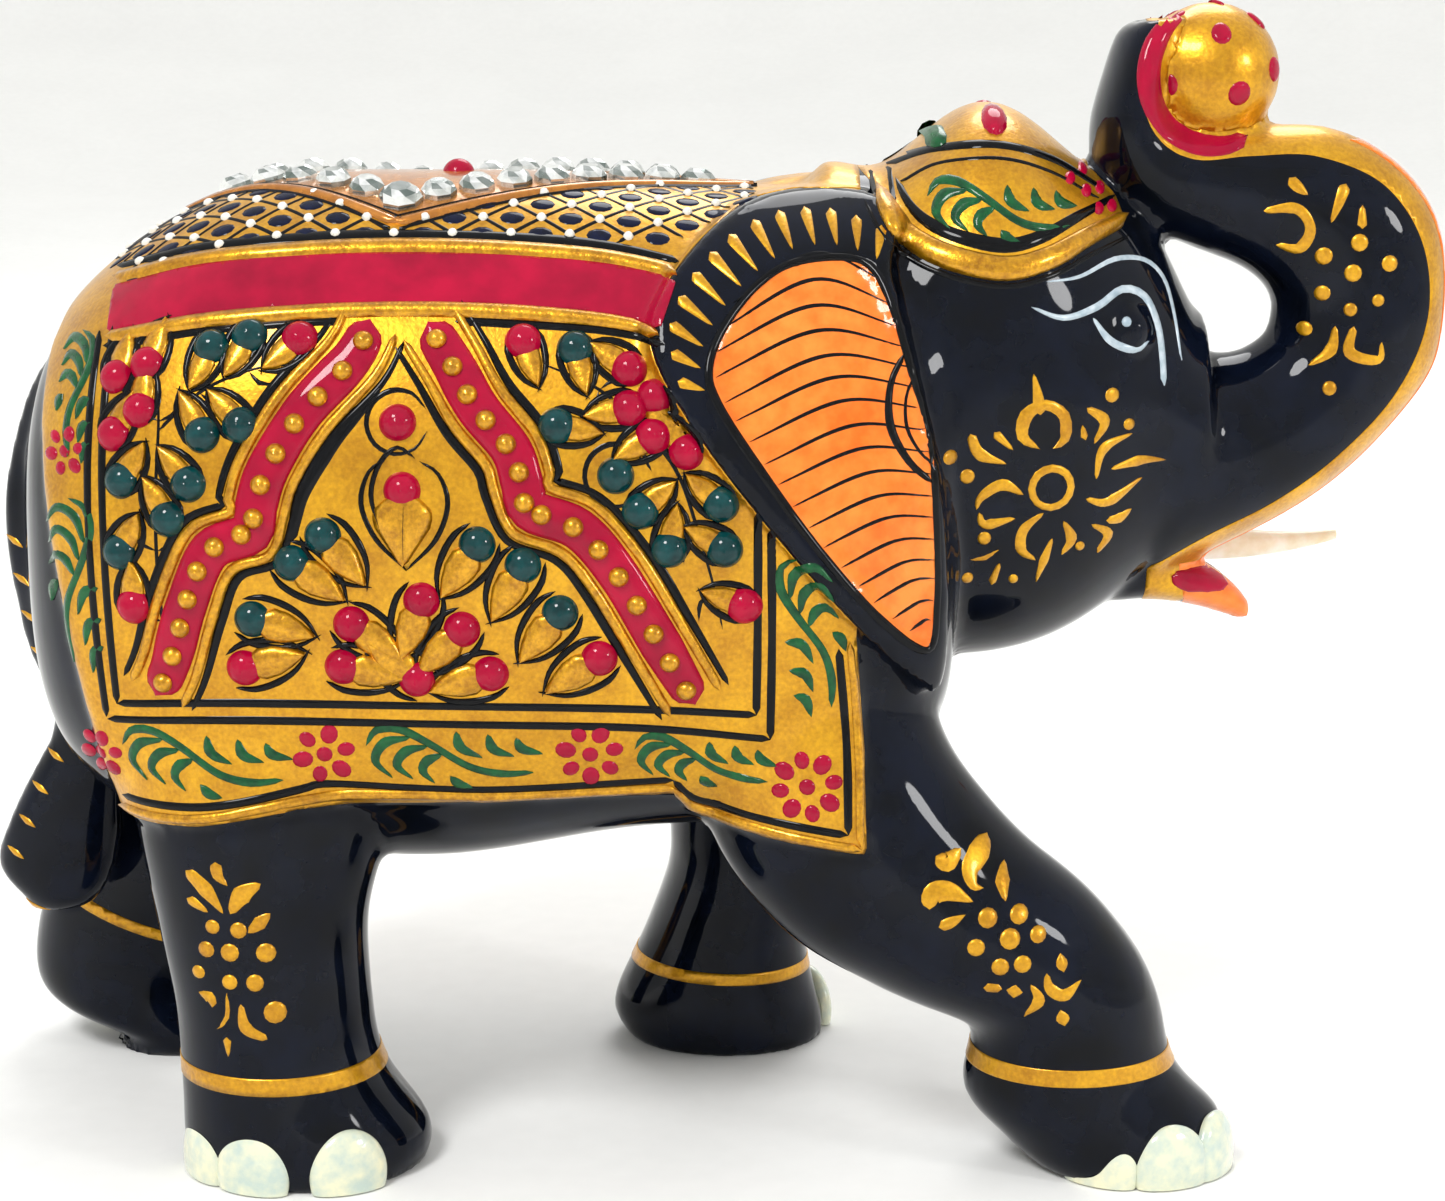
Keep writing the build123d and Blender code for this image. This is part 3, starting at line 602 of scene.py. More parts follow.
class ELEPHANT_OT_carving(bpy.types.Operator):
    """Carve the body: the CAD solid, its edges softened as by sanding"""
    bl_idname = "elephant.carving"
    bl_label = "Carving"

    def execute(self, context):
        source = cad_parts["body"]
        mesh = source.data.copy()
        carving = bpy.data.objects.new("carving", mesh)
        context.scene.collection.objects.link(carving)
        make_active(carving)
        bpy.ops.object.mode_set(mode="EDIT")
        bpy.ops.mesh.select_all(action="SELECT")
        bpy.ops.mesh.remove_doubles(threshold=0.002 * MM)
        bpy.ops.object.mode_set(mode="OBJECT")
        voxel = context.scene.elephant.voxel
        apply_modifier(carving, "REMESH", mode="VOXEL", voxel_size=voxel, use_smooth_shade=True)
        apply_modifier(carving, "SMOOTH", factor=0.5, iterations=4)
        for vertex in carving.data.vertices:
            if vertex.co.z < SOLE_TOP * MM:
                share = (vertex.co.z / MM - SOLE_LIFT) / (SOLE_TOP - SOLE_LIFT)
                vertex.co.z = max(share, 0.0) * SOLE_TOP * MM
        carving.data.materials.clear()
        carving.data.materials.append(material("black_lacquer"))
        carving.data.shade_smooth()
        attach(carving, "root")
        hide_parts("body")
        read_skin(carving)
        return {"FINISHED"}


class ELEPHANT_OT_cloth(bpy.types.Operator):
    """Paint the saddle cloth's ground colours"""
    bl_idname = "elephant.cloth"
    bl_label = "Cloth ground"

    def execute(self, context):
        across = np.abs(SKIN["points"][:, 1])
        ear = smooth_line(EAR_OUTLINE, closed=True)
        clear_of_ear = np.maximum(-within(ear), 9.0 - across)
        painted_area("cloth_gold", [within(CLOTH), clear_of_ear], 0.06, "brushed_gold_paint")
        band = smooth_line(BAND_TOP) + smooth_line(BAND_BOTTOM)
        for side, word in zip(SIDES, ("right", "left")):
            flank = side * SKIN["points"][:, 1] - 4
            painted_area("crimson_band_" + word, [within(band), flank], 0.14, "crimson_gloss")
        return {"FINISHED"}


def islands(node):
    """Middles in mm of the separate solids in one CAD node's mesh."""
    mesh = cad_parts[node].data
    made = bmesh.new()
    made.from_mesh(mesh)
    bmesh.ops.remove_doubles(made, verts=made.verts, dist=0.001 * MM)
    seen = set()
    middles = []
    for start in made.verts:
        if start in seen:
            continue
        group, queue = [], [start]
        seen.add(start)
        while queue:
            vert = queue.pop()
            group.append(vert.co)
            for edge in vert.link_edges:
                other = edge.other_vert(vert)
                if other not in seen:
                    seen.add(other)
                    queue.append(other)
        low = Vector([min(c[k] for c in group) for k in range(3)])
        high = Vector([max(c[k] for c in group) for k in range(3)])
        middles.append((low + high) / 2 / MM)
    made.free()
    return middles


def offset_line(path, distance):
    """A plan path shifted sideways, to its left for a positive distance."""
    line = [Vector(p) for p in path]
    moved = []
    for i, spot in enumerate(line):
        run = (line[min(i + 1, len(line) - 1)] - line[max(i - 1, 0)]).normalized()
        moved.append(spot + Vector((-run.y, run.x)) * distance)
    return moved


def leaflets(film, place, path, pitch, length, start=0.0):
    """Small comma leaves in pairs along a stem."""
    line = smooth_line(path, step=pitch)
    for i, spot in enumerate(line[1:-1], 1):
        if i / len(line) < start:
            continue
        run = (line[i + 1] - line[i - 1]).normalized()
        for side in (-1, 1):
            away = Vector((-run.y, run.x)) * side
            tip = spot + run * length * 0.8 + away * length * 0.7
            bend = spot + run * length * 0.25 + away * length * 0.5
            film.stroke(place, [spot, bend, tip], [0.2, 0.6, 0.15], 0.1)


LEFT_STEM = [(-47.9, 50.0), (-49.3, 55.5), (-49.7, 62.0), (-49.6, 68.3), (-49.4, 73.6), (-49.8, 79.2)]
LEFT_BRANCH = [(-49.4, 72.8), (-45.6, 76.2), (-41.1, 78.2), (-36.8, 78.8)]
RIGHT_STEM = [(-14.5, 78.8), (-9.5, 76.6), (-4.9, 72.6), (-2.3, 69.0), (-0.6, 64.0), (0.9, 58.6), (1.6, 55.0)]
RIGHT_BRANCH = [(-0.6, 64.0), (-4.4, 61.0), (-6.6, 63.0)]


class ELEPHANT_OT_cloth_lines(bpy.types.Operator):
    """Draw the black frames, outlines, stems and leaves on the cloth"""
    bl_idname = "elephant.cloth_lines"
    bl_label = "Cloth lines"

    def execute(self, context):
        width = context.scene.elephant.outline / MM
        even = [width, width * 1.15, width, width * 1.1, width]
        for side, word in zip(SIDES, ("right", "left")):
            place = on_side(side)
            lines = Film(0.08)
            for path in (
                [(-54.6, 81.3), (-54.9, 72.0), (-54.8, 60.0), (-54.3, 47.3)],
                [(-54.3, 47.3), (-46.0, 47.9), (-37.0, 48.0), (-18.7, 47.7), (-5.0, 47.3), (4.7, 46.7)],
                [(-55.4, 45.6), (-46.0, 46.2), (-37.1, 46.3), (-18.8, 45.9), (-5.0, 45.4), (6.0, 44.2)],
                [(4.8, 66.0), (4.8, 56.0), (4.7, 46.7)],
                [(6.0, 64.5), (6.1, 55.0), (6.0, 44.2)],
                [(-56.0, 80.8), (-56.4, 70.0), (-56.2, 58.0), (-55.5, 45.8)],
                [(-55.4, 79.6), (-46.1, 81.4), (-36.8, 82.3), (-32.6, 82.4)],
                [(-22.6, 82.4), (-18.6, 82.3), (-9.5, 81.7), (-3.6, 80.7)],
                [(-54.8, 37.6), (-46.0, 38.0), (-37.5, 39.5), (-34.0, 39.9), (-19.0, 39.2), (-3.0, 39.9)],
                [(-3.0, 39.9), (-1.2, 37.8), (1.5, 37.0), (8.0, 36.2), (13.2, 35.5)],
                [(13.2, 35.5), (13.0, 44.0), (12.2, 53.0)],
            ):
                lines.stroke(place, path, even)
            for ribbon in (REAR_RIBBON, FRONT_RIBBON):
                for distance in (-3.5, 3.5):
                    lines.stroke(place, offset_line(ribbon, distance), [0.5, 1.0, 0.75, 1.0, 0.6])
            lines.stroke(place, offset_line(REAR_RIBBON[1:6], 3.7), [0.6, 1.5, 1.8, 1.5, 1.0])
            lines.stroke(place, LEFT_STEM, [0.3, 0.5, 0.45, 0.4, 0.2])
            lines.stroke(place, LEFT_BRANCH, [0.45, 0.4, 0.2])
            lines.stroke(place, RIGHT_STEM, [0.2, 0.45, 0.5, 0.4, 0.2])
            lines.stroke(place, RIGHT_BRANCH, [0.4, 0.35, 0.2])
            leaflets(lines, place, LEFT_STEM, 4.6, 3.2)
            leaflets(lines, place, LEFT_BRANCH, 4.2, 2.6)
            leaflets(lines, place, RIGHT_STEM, 4.6, 3.0)
            self.outline_petals(lines, place)
            lines.piece("black_lines_" + word, "line_black_paint", "lacquered_wood")
        return {"FINISHED"}

    def outline_petals(self, lines, place):
        """A black line round each petal and a ring round each drop."""
        for x, z in RING_DROPS:
            ring = [Vector((x, z)) + Vector((math.cos(a), math.sin(a))) * 2.8 for a in np.linspace(0.4, 6.0, 9)]
            lines.stroke(place, ring, [0.2, 0.7, 0.6, 0.5, 0.2])
        for path in BUD_OUTLINES:
            lines.stroke(place, path, [0.3, 0.7, 0.7, 0.3], 0.5)
        lines.stroke(place, BUD_MIDDLE, [0.5, 0.4, 0.2], 1.05)
        for x, z, degrees in RED_DROPS + GREEN_DROPS:
            drop, run, size = Vector((x, z)), heading(degrees), petal_size(x, z)
            away = Vector((-run.y, run.x))
            half = [(-1.3, 1.6), (0.4, 2.2), (2.6, 2.05), (4.6, 1.3), (6.4, -0.3)]
            for turn in (-1, 1):
                path = [drop + (run * u + away * v * turn) * size for u, v in half]
                lines.stroke(place, path, [0.3, 0.7, 0.75, 0.55, 0.2], 0.2)


def petal_size(x, z):
    """Petals are full size inside the arch and small on the sprigs beside it."""
    return 1.0 if z < 66 and -42.5 < x < -9 else 0.72


def heading(degrees):
    """The plan direction at an angle in degrees."""
    return Vector((math.cos(math.radians(degrees)), math.sin(math.radians(degrees))))


BUD_DROP = (-27.2, 67.8)
BUD_OUTLINES = [
    [(-26.9, 60.6), (-29.6, 63.4), (-30.9, 66.6), (-30.2, 69.4), (-28.6, 70.6)],
    [(-26.9, 60.6), (-24.2, 63.4), (-23.1, 66.6), (-23.9, 69.2), (-25.6, 70.4)],
    [(-29.2, 64.2), (-30.0, 67.4), (-29.2, 70.2), (-27.6, 71.6), (-26.0, 70.6)],
]
BUD_MIDDLE = [(-27.0, 66.4), (-27.1, 64.0), (-27.1, 61.6)]


class ELEPHANT_OT_embossing(bpy.types.Operator):
    """Lay the raised ribbons, gold piping and petals on the cloth"""
    bl_idname = "elephant.embossing"
    bl_label = "Embossing"

    def execute(self, context):
        for side, word in zip(SIDES, ("right", "left")):
            place = on_side(side)
            red, piping, petals = Film(0.05), Film(0.05), Film(0.05)
            for ribbon in (REAR_RIBBON, FRONT_RIBBON):
                red.stroke(place, ribbon, [3.6, 4.2, 4.0, 4.2, 4.1, 4.0, 4.2, 3.4], 0.6)
                for distance in (-2.6, 2.6):
                    piping.stroke(place, offset_line(ribbon, distance), [0.8, 1.2, 1.1, 1.2, 1.0], 0.55)
            piping.stroke(place, offset_line(BAND_TOP, 0.5), [0.9, 1.3, 1.3, 1.2], 0.5)
            piping.stroke(place, offset_line(BAND_BOTTOM, 0.5), [1.2, 1.5, 1.4, 1.5, 1.1], 0.6)
            for x, z, degrees in RED_DROPS + GREEN_DROPS:
                drop, run, size = Vector((x, z)), heading(degrees), petal_size(x, z)
                path = [drop + run * 0.4 * size, drop + run * 3.1 * size, drop + run * 5.8 * size]
                petals.stroke(place, path, [w * size for w in (2.6, 3.3, 3.1, 2.0, 0.4)], 0.75 * size)
            bud, down = Vector(BUD_DROP), heading(-90)
            petals.stroke(place, [bud, bud + down * 3.4, bud + down * 6.8], [3.0, 6.0, 5.4, 3.0, 0.6], 0.9)
            ribbons = red.piece("ribbons_" + word, "crimson_gloss", "crimson_enamel")
            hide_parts("ribbon_rear_" + word, "ribbon_front_" + word)
            lines = piping.piece("gold_piping_" + word, "raised_gold_paint", "gold_relief")
            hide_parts("ribbon_piping_" + word, "band_piping_" + word)
            embossed = petals.piece("embossed_petals_" + word, "raised_gold_paint", "gold_relief")
            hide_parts("petals_" + word)
        return {"FINISHED"}


class ELEPHANT_OT_crystals(bpy.types.Operator):
    """Set the faceted flat-back crystals round the medallion"""
    bl_idname = "elephant.crystals"
    bl_label = "Crystals"

    def execute(self, context):
        for node, radius in (("crystals_large", 2.1), ("crystals_small", 1.7)):
            stone = self.cut_stone(radius)
            made = bmesh.new()
            for middle in islands(node):
                point, normal = on_top(middle.x, middle.y)
                turn = Vector((0, 0, 1)).rotation_difference(normal).to_matrix().to_4x4()
                for face in stone:
                    corners = [made.verts.new((turn @ corner + point) * MM) for corner in face]
                    made.faces.new(corners)
            bmesh.ops.remove_doubles(made, verts=made.verts, dist=0.0005 * MM)
            mesh = bpy.data.meshes.new("faceted_" + node)
            made.to_mesh(mesh)
            made.free()
            facets = mesh.attributes.new("painted_reflection", "FLOAT", "FACE")
            for face in mesh.polygons:
                # Painted reflections: a fixed lighter or darker tone for each face of the stones.
                facets.data[face.index].value = 0.2 + 1.9 * abs(math.sin(face.index * 12.99 + 2.1)) 
            mesh.materials.append(material("foiled_crystal_painted_reflections"))
            piece = bpy.data.objects.new("faceted_" + node, mesh)
            context.scene.collection.objects.link(piece)
            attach(piece, "root")
            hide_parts(node)
        return {"FINISHED"}

    def cut_stone(self, radius):
        """The faces of one stone: girdle, two rings of crown facets and a table."""
        deselect()
        bpy.ops.mesh.primitive_cylinder_add(vertices=8, radius=radius, depth=0.5, location=(0, 0, 0.3))
        stone = bpy.context.object
        bpy.ops.object.mode_set(mode="EDIT")
        bpy.ops.mesh.select_mode(type="FACE")
        work = bmesh.from_edit_mesh(stone.data)
        for face in work.faces:
            face.select_set(face.normal.z > 0.9)
        bmesh.update_edit_mesh(stone.data)
        for rise, grow in ((0.42, 0.8), (0.28, 0.62)):
            bpy.ops.mesh.extrude_region_move(TRANSFORM_OT_translate={"value": (0, 0, rise * radius * 0.75)})
            bpy.ops.transform.resize(value=(grow, grow, 1))
            bpy.ops.transform.rotate(value=math.radians(22.5), orient_axis="Z", center_override=(0, 0, 0))
        bpy.ops.object.mode_set(mode="OBJECT")
        shape = stone.data
        offset = stone.location.copy()
        stone_faces = [[shape.vertices[i].co + offset for i in face.vertices] for face in shape.polygons]
        bpy.data.objects.remove(stone)
        return stone_faces


class ELEPHANT_OT_trims(bpy.types.Operator):
    """Finish the embossed trims that are CAD nodes"""
    bl_idname = "elephant.trims"
    bl_label = "Trims"

    def execute(self, context):
        finishes = {"ribbon_beads": "raised_gold_paint", "red_drops": "crimson_gloss", "green_drops": "teal_gloss"}
        for start, paint in finishes.items():
            for word in ("right", "left"):
                self.dress(start + "_" + word, paint)
        self.dress("tusk_left", "cast_ivory_resin")
        self.dress("toenails", "nail_gloss")
        self.dress("medallion_drop", "crimson_gloss")
        return {"FINISHED"}

    def dress(self, node, paint):
        """Give one CAD node its finish."""
        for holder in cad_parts[node].material_slots:
            holder.material = material(paint)


class ELEPHANT_OT_lattice(bpy.types.Operator):
    """Draw the lattice and the medallion on the back"""
    bl_idname = "elephant.lattice"
    bl_label = "Back lattice"

    def execute(self, context):
        pitch = context.scene.elephant.lattice / MM
        lines, ovals, dots = Film(0.07), Film(0.07), Film(0.07)
        tall = pitch * 0.84
        near = [(-53.5, 16.0), (-45.0, 17.2), (-30.0, 17.6), (-12.0, 17.6), (-3.0, 16.4), (2.5, 12.0), (5.0, 6.0)]
        edge = near + [(x, -s) for x, s in reversed(near)] + [(-56.5, -9.0), (-57.5, 0.0), (-56.5, 9.0)]
        medallion = [(-50.4, 0.0), (-28.6, -14.4), (4.6, 0.0), (-28.6, 14.4)]
        for step in range(-24, 25):
            for lean in (-1, 1):
                run = []
                for k in range(-60, 61):
                    along = k * 0.6
                    x = -26.0 + step * pitch + lean * along * pitch / tall
                    inside = in_outline((x, along), edge) and not in_outline((x, along), medallion)
                    if inside:
                        run.append((x, along))
                    if (not inside or k == 60) and run:
                        if len(run) > 2:
                            lines.stroke(on_back, [run[0], run[len(run) // 2], run[-1]], [0.62, 0.56], 0.1)
                        run = []
        for row in range(-12, 13):
            for column in range(-24, 25):
                shift = 0.5 if row % 2 else 0.0
                spot = (-26.0 + (column + shift) * pitch, row * tall / 2)
                if in_outline(spot, edge) and not in_outline(spot, medallion):
                    dots.dot(on_back, spot, 0.52, 0.5, corners=8)
                spot = (-26.0 + (column + 0.5 + shift) * pitch, row * tall / 2)
                if in_outline(spot, edge) and not in_outline(spot, medallion):
                    ovals.dot(on_back, spot, 0.98, 0.12, stretch=1.25, corners=10)
        border = Film(0.06)
        for a, b in zip(medallion, medallion[1:] + medallion[:1]):
            across = (Vector(b) - Vector(a)).normalized()
            out = Vector((across.y, -across.x))
            for distance, width in ((-0.9, 0.4), (0.9, 0.5)):
                lines.stroke(on_back, [Vector(a) + out * distance, Vector(b) + out * distance], [width, width], 0.2)
            border.stroke(on_back, [a, b], [1.3, 1.4, 1.3], 0.45)
        border.piece("medallion_border", "amber_gold_paint", "gold_relief")
        for side in SIDES:
            lines.stroke(on_side(side), offset_line(BAND_TOP, 1.45), [0.5, 0.8, 1.0, 0.8, 1.0, 0.6], 0.15)
        lines.piece("lattice_lines", "line_black_paint", "lacquered_wood")
        ovals.piece("lattice_ovals", "navy_paint", "lacquered_wood")
        dots.piece("lattice_dots", "white_paint", "nail_enamel")
        field = within(medallion, (0, 1))
        above = SKIN["points"][:, 2] - 80
        painted_area("medallion_ground", [field, above], 0.12, "amber_gold_paint")
        return {"FINISHED"}


def in_outline(spot, outline):
    """True if a plan point is inside a closed outline."""
    inside = False
    x, y = spot
    for (ax, ay), (bx, by) in zip(outline, outline[1:] + outline[:1]):
        if (ay > y) != (by > y) and x < (bx - ax) * (y - ay) / (by - ay) + ax:
            inside = not inside
    return inside


SCROLL_STEM = [(0.0, 0.9), (0.9, 2.5), (3.0, 2.8), (6.0, 1.4), (9.5, -0.6), (12.5, -1.2), (15.4, -0.9)]
SCROLL_LEAVES = [
    [(4.0, 2.0), (1.7, 1.3), (0.9, -0.6), (2.5, -2.2)],
    [(5.6, 1.2), (3.7, 0.6), (2.9, -0.9), (4.4, -2.2)],
    [(7.0, 0.5), (5.6, -0.3), (5.3, -1.4), (6.4, -2.5)],
    [(8.2, 2.9), (8.7, 1.3), (10.7, 0.4)],
    [(11.1, 2.8), (11.7, 1.3), (13.6, 0.7)],
    [(13.7, 2.6), (14.3, 1.5), (16.2, 1.1)],
    [(7.8, -1.7), (8.6, -2.5), (9.9, -2.8)],
]


def scroll(film, place, origin, degrees, size=1.0, flip=1):
    """A curling stem with comma leaves, running from origin."""
    c, s = math.cos(math.radians(degrees)) * size, math.sin(math.radians(degrees)) * size

    def turned(path):
        """The path laid at the scroll's place and angle."""
        return [(origin[0] + u * c - v * flip * s, origin[1] + u * s + v * flip * c) for u, v in path]

    film.stroke(place, turned(SCROLL_STEM), [0.3, 1.0, 0.9, 0.75, 0.8, 0.9, 0.5])
    for leaf in SCROLL_LEAVES:
        film.stroke(place, turned(leaf), [0.4, 1.15, 0.9, 0.15])


def dot_flower(film, place, centre, petals, reach, radius):
    """Dots of paint in a ring round one more."""
    film.dot(place, centre, radius)
    for i in range(petals):
        angle = 2 * math.pi * (i + 0.25) / petals
        spot = (centre[0] + math.cos(angle) * reach, centre[1] + math.sin(angle) * reach)
        film.dot(place, spot, radius * (0.92 + 0.16 * (i % 2)), turn=math.degrees(angle), stretch=1.2)


class ELEPHANT_OT_borders(bpy.types.Operator):
    """Paint the scrolls and dot flowers of the cloth's borders"""
    bl_idname = "elephant.borders"
    bl_label = "Cloth borders"

    def execute(self, context):
        for side, word in zip(SIDES, ("right", "left")):
            place = on_side(side)
            green, red, gold = Film(0.08), Film(0.08), Film(0.08)
            scroll(green, place, (-54.2, 42.2), -3)
            scroll(green, place, (-31.2, 43.0), -4)
            scroll(green, place, (-6.6, 42.6), -8, 0.82)
            scroll(green, place, (9.2, 61.8), -84, 0.95, -1)
            scroll(green, place, (-59.3, 66.0), -84, 1.0)
            scroll(green, place, (-58.6, 80.6), -86, 0.7)
            dot_flower(red, place, (-35.0, 43.0), 6, 2.1, 0.8)
            dot_flower(red, place, (-10.6, 42.8), 7, 2.3, 0.8)
            dot_flower(red, place, (9.4, 39.9), 8, 2.5, 0.8)
            dot_flower(red, place, (-58.9, 70.2), 6, 1.6, 0.6)
            dot_flower(red, place, (-56.8, 41.6), 6, 1.8, 0.7)
            hem = [(-55.2, 36.4), (-47.0, 36.8), (-37.8, 38.4), (-28.0, 38.8), (-19.0, 38.5), (-3.0, 39.0)]
            step = [(-3.0, 39.0), (-1.6, 37.2), (-0.4, 36.3), (7.0, 35.2), (14.4, 34.2)]
            for path in (hem, step):
                gold.stroke(place, path, [0.9, 1.1, 1.1, 0.9], 0.4)
            gold.stroke(place, [(14.3, 34.4), (14.1, 44.0), (13.2, 53.6)], [0.8, 0.9, 0.7], 0.3)
            green.piece("green_scrolls_" + word, "leaf_green_paint", "teal_enamel")
            red.piece("red_flowers_" + word, "crimson_gloss", "crimson_enamel")
            gold.piece("rolled_hem_" + word, "raised_gold_paint", "gold_relief")
        return {"FINISHED"}


class ELEPHANT_OT_ears(bpy.types.Operator):
    """Paint the ears: orange faces with fine lines, gold strokes on the rim"""
    bl_idname = "elephant.ears"
    bl_label = "Ears"

    def execute(self, context):
        for side, word in zip(SIDES, ("right", "left")):
            place = on_side(side)
            flank = side * SKIN["points"][:, 1] - 10
            face = smooth_line(EAR_FACE, closed=True)
            painted_area("ear_face_" + word, [within(face), flank], 0.08, "orange_gloss")
            lines, gold = Film(0.09), Film()
            rear = [(2.6, 84.2), (0.9, 79.6), (1.6, 76.0), (5.2, 70.4), (10.6, 62.8), (15.8, 57.0), (18.6, 54.6)]
            front = [(16.2, 86.0), (17.6, 81.8), (18.8, 78.0), (20.2, 72.0), (20.8, 65.0), (20.9, 59.0), (20.6, 55.4)]
            for k in range(17):
                share = k / 16
                a, b = Vector(along_path(rear, share)), Vector(along_path(front, share))
                sag = 2.6 * (1 - share) + 0.5
                middle = (a + b) / 2 + Vector((0.6, sag))
                lines.stroke(place, [a, middle, b], [0.15, 0.42, 0.5, 0.34, 0.15], 0.1)
            lines.stroke(place, [(18.0, 79.8), (16.7, 77.0), (16.7, 73.4), (18.4, 70.2), (20.6, 68.2)], [0.5, 0.9, 0.6])
            lines.stroke(place, [(18.8, 77.8), (18.1, 75.8), (18.2, 73.2), (19.4, 71.0), (20.7, 69.8)], [0.3, 0.5, 0.3])
            lines.stroke(place, EAR_FACE, [0.7, 0.8, 0.7, 0.8], 0.16, closed=True)
            outer = [(-2.4, 77.6), (-3.2, 82.0), (-1.6, 86.0), (2.2, 89.8), (7.0, 91.8), (12.0, 91.9), (16.2, 90.6)]
            inner = [(0.0, 76.8), (-0.4, 79.6), (1.0, 82.8), (4.0, 86.2), (8.0, 88.6), (12.4, 88.9), (15.6, 87.8)]
            for k in range(13):
                share = k / 12
                a, b = Vector(along_path(inner, share)), Vector(along_path(outer, share))
                gold.stroke(place, [a, b], [0.2, 0.8, 1.3], 0.12)
            lines.piece("ear_lines_" + word, "line_black_paint", "lacquered_wood")
            gold.piece("ear_strokes_" + word, "brushed_gold_paint", "gold_relief")
        return {"FINISHED"}


def along_path(path, share):
    """The point at a share of the smooth path's length."""
    line = smooth_line(path)
    where = share * (len(line) - 1)
    low = min(int(where), len(line) - 2)
    return line[low].lerp(line[low + 1], where - low)


class ELEPHANT_OT_head(bpy.types.Operator):
    """Paint the head cap and the eyes"""
    bl_idname = "elephant.head"
    bl_label = "Head"

    def execute(self, context):
        cap = smooth_line(CAP_RIDGE) + [Vector(p) for p in CAP_CROWN]
        painted_area("cap_gold", [within(cap)], 0.06, "brushed_gold_paint")
        for side, word in zip(SIDES, ("right", "left")):
            place = on_side(side)
            ridge, lines, green, red, pale = Film(0.06), Film(0.08), Film(0.08), Film(0.08), Film()
            ridge.stroke(place, CAP_RIDGE, [1.6, 2.4, 2.4, 2.2, 1.4], 0.7)
            lines.stroke(place, offset_line(CAP_RIDGE, 2.0), [0.6, 1.3, 1.5, 1.4, 1.1, 0.5])
            lines.stroke(place, offset_line(CAP_RIDGE, -1.6), [0.3, 0.5, 0.5, 0.5, 0.3])
            lines.stroke(place, [(17.4, 95.2), (21.5, 97.0), (27.0, 97.6), (32.4, 96.2), (37.6, 93.2)], [0.4, 0.8, 0.7, 0.4])
            lines.stroke(place, [(18.4, 94.0), (22.0, 95.9), (27.4, 96.4), (32.4, 95.0), (37.0, 92.4)], [0.3, 0.45, 0.3])
            lines.stroke(place, [(17.6, 99.0), (17.5, 95.0), (17.6, 91.4)], [0.5, 0.7, 0.6])
            lines.stroke(place, [(15.9, 97.4), (15.8, 94.0), (16.2, 91.6)], [0.5, 0.6, 0.5])
            scroll(green, place, (20.6, 92.2), -5, 0.86)
            green.dot(place, (21.6, 98.2), 1.3, 0.7)
            red.dot(place, (27.2, 99.6), 1.3, 0.7)
            ridge.stroke(place, [(20.6, 97.6), (19.4, 98.6), (20.4, 100.0)], [0.4, 1.2, 0.4], 0.4)
            for spot in ((34.2, 94.4), (35.8, 93.2), (35.9, 95.0), (37.4, 93.3), (36.9, 91.6), (38.4, 91.7)):
                red.dot(place, spot, 0.6)
            for path, widths in EYE_LINES:
                pale.stroke(place, path, widths)
            # Painted highlight: a pale dot on the eye where a lamp's glint would show.
            pale.dot(place, (39.2, 81.5), 0.5, 0.25)
            ridge.piece("cap_ridge_" + word, "raised_gold_paint", "gold_relief")
            lines.piece("cap_lines_" + word, "line_black_paint", "lacquered_wood")
            green.piece("cap_leaves_" + word, "leaf_green_paint", "teal_enamel")
            red.piece("cap_dots_" + word, "crimson_gloss", "crimson_enamel")
            pale.piece("eye_lines_and_painted_glint_" + word, "pale_blue_paint", "nail_enamel")
        return {"FINISHED"}


class ELEPHANT_OT_trunk(bpy.types.Operator):
    """Paint the trunk's edge, the mouth and the ball"""
    bl_idname = "elephant.trunk"
    bl_label = "Trunk and ball"

    def execute(self, context):
        points = SKIN["points"]
        edge = smooth_line(TRUNK_EDGE)
        from_edge = near_line(edge)
        ahead = np.where(points[:, 2] > 94, 1.0, points[:, 0] - 43.0)
        ball = np.linalg.norm(points - np.array(BALL), axis=1)
        painted_area("trunk_gold", [2.7 - from_edge, ahead, ball - BALL_RADIUS - 0.25], 0.06, "brushed_gold_paint")
        front = 1.2 - from_edge
        painted_area("trunk_orange", [front, 2.4 - np.abs(points[:, 1]), ahead, ball - BALL_RADIUS - 0.25, 97.5 - points[:, 2]], 0.12, "orange_gloss")
        painted_area("ball_gold", [BALL_RADIUS + 0.25 - ball], 0.05, "brushed_gold_paint")
        lip = [(46.2, 56.6), (47.6, 50.4), (56.0, 48.0), (56.0, 53.5), (49.5, 56.4)]
        painted_area("lip_orange", [within(lip)], 0.08, "orange_gloss")
        red = Film(0.06)
        for turn, rise in BALL_DOTS:
            red.dot(on_ball, (turn, rise), 10.5, 0.2, corners=14)
        for side in SIDES:
            place = on_side(side)
            groove = [(BALL[0] + math.cos(math.radians(a)) * 6.7, BALL[2] + math.sin(math.radians(a)) * 6.7) for a in range(118, 316, 18)]
            red.stroke(place, groove, [1.2, 2.2, 2.5, 2.4, 2.2, 1.4], 0.3)
            red.stroke(place, [(45.6, 55.4), (47.2, 54.8), (49.4, 54.6), (51.6, 53.8)], [1.2, 2.4, 2.4, 0.9], 0.2)
        red.piece("ball_red", "crimson_gloss", "crimson_enamel")
        return {"FINISHED"}


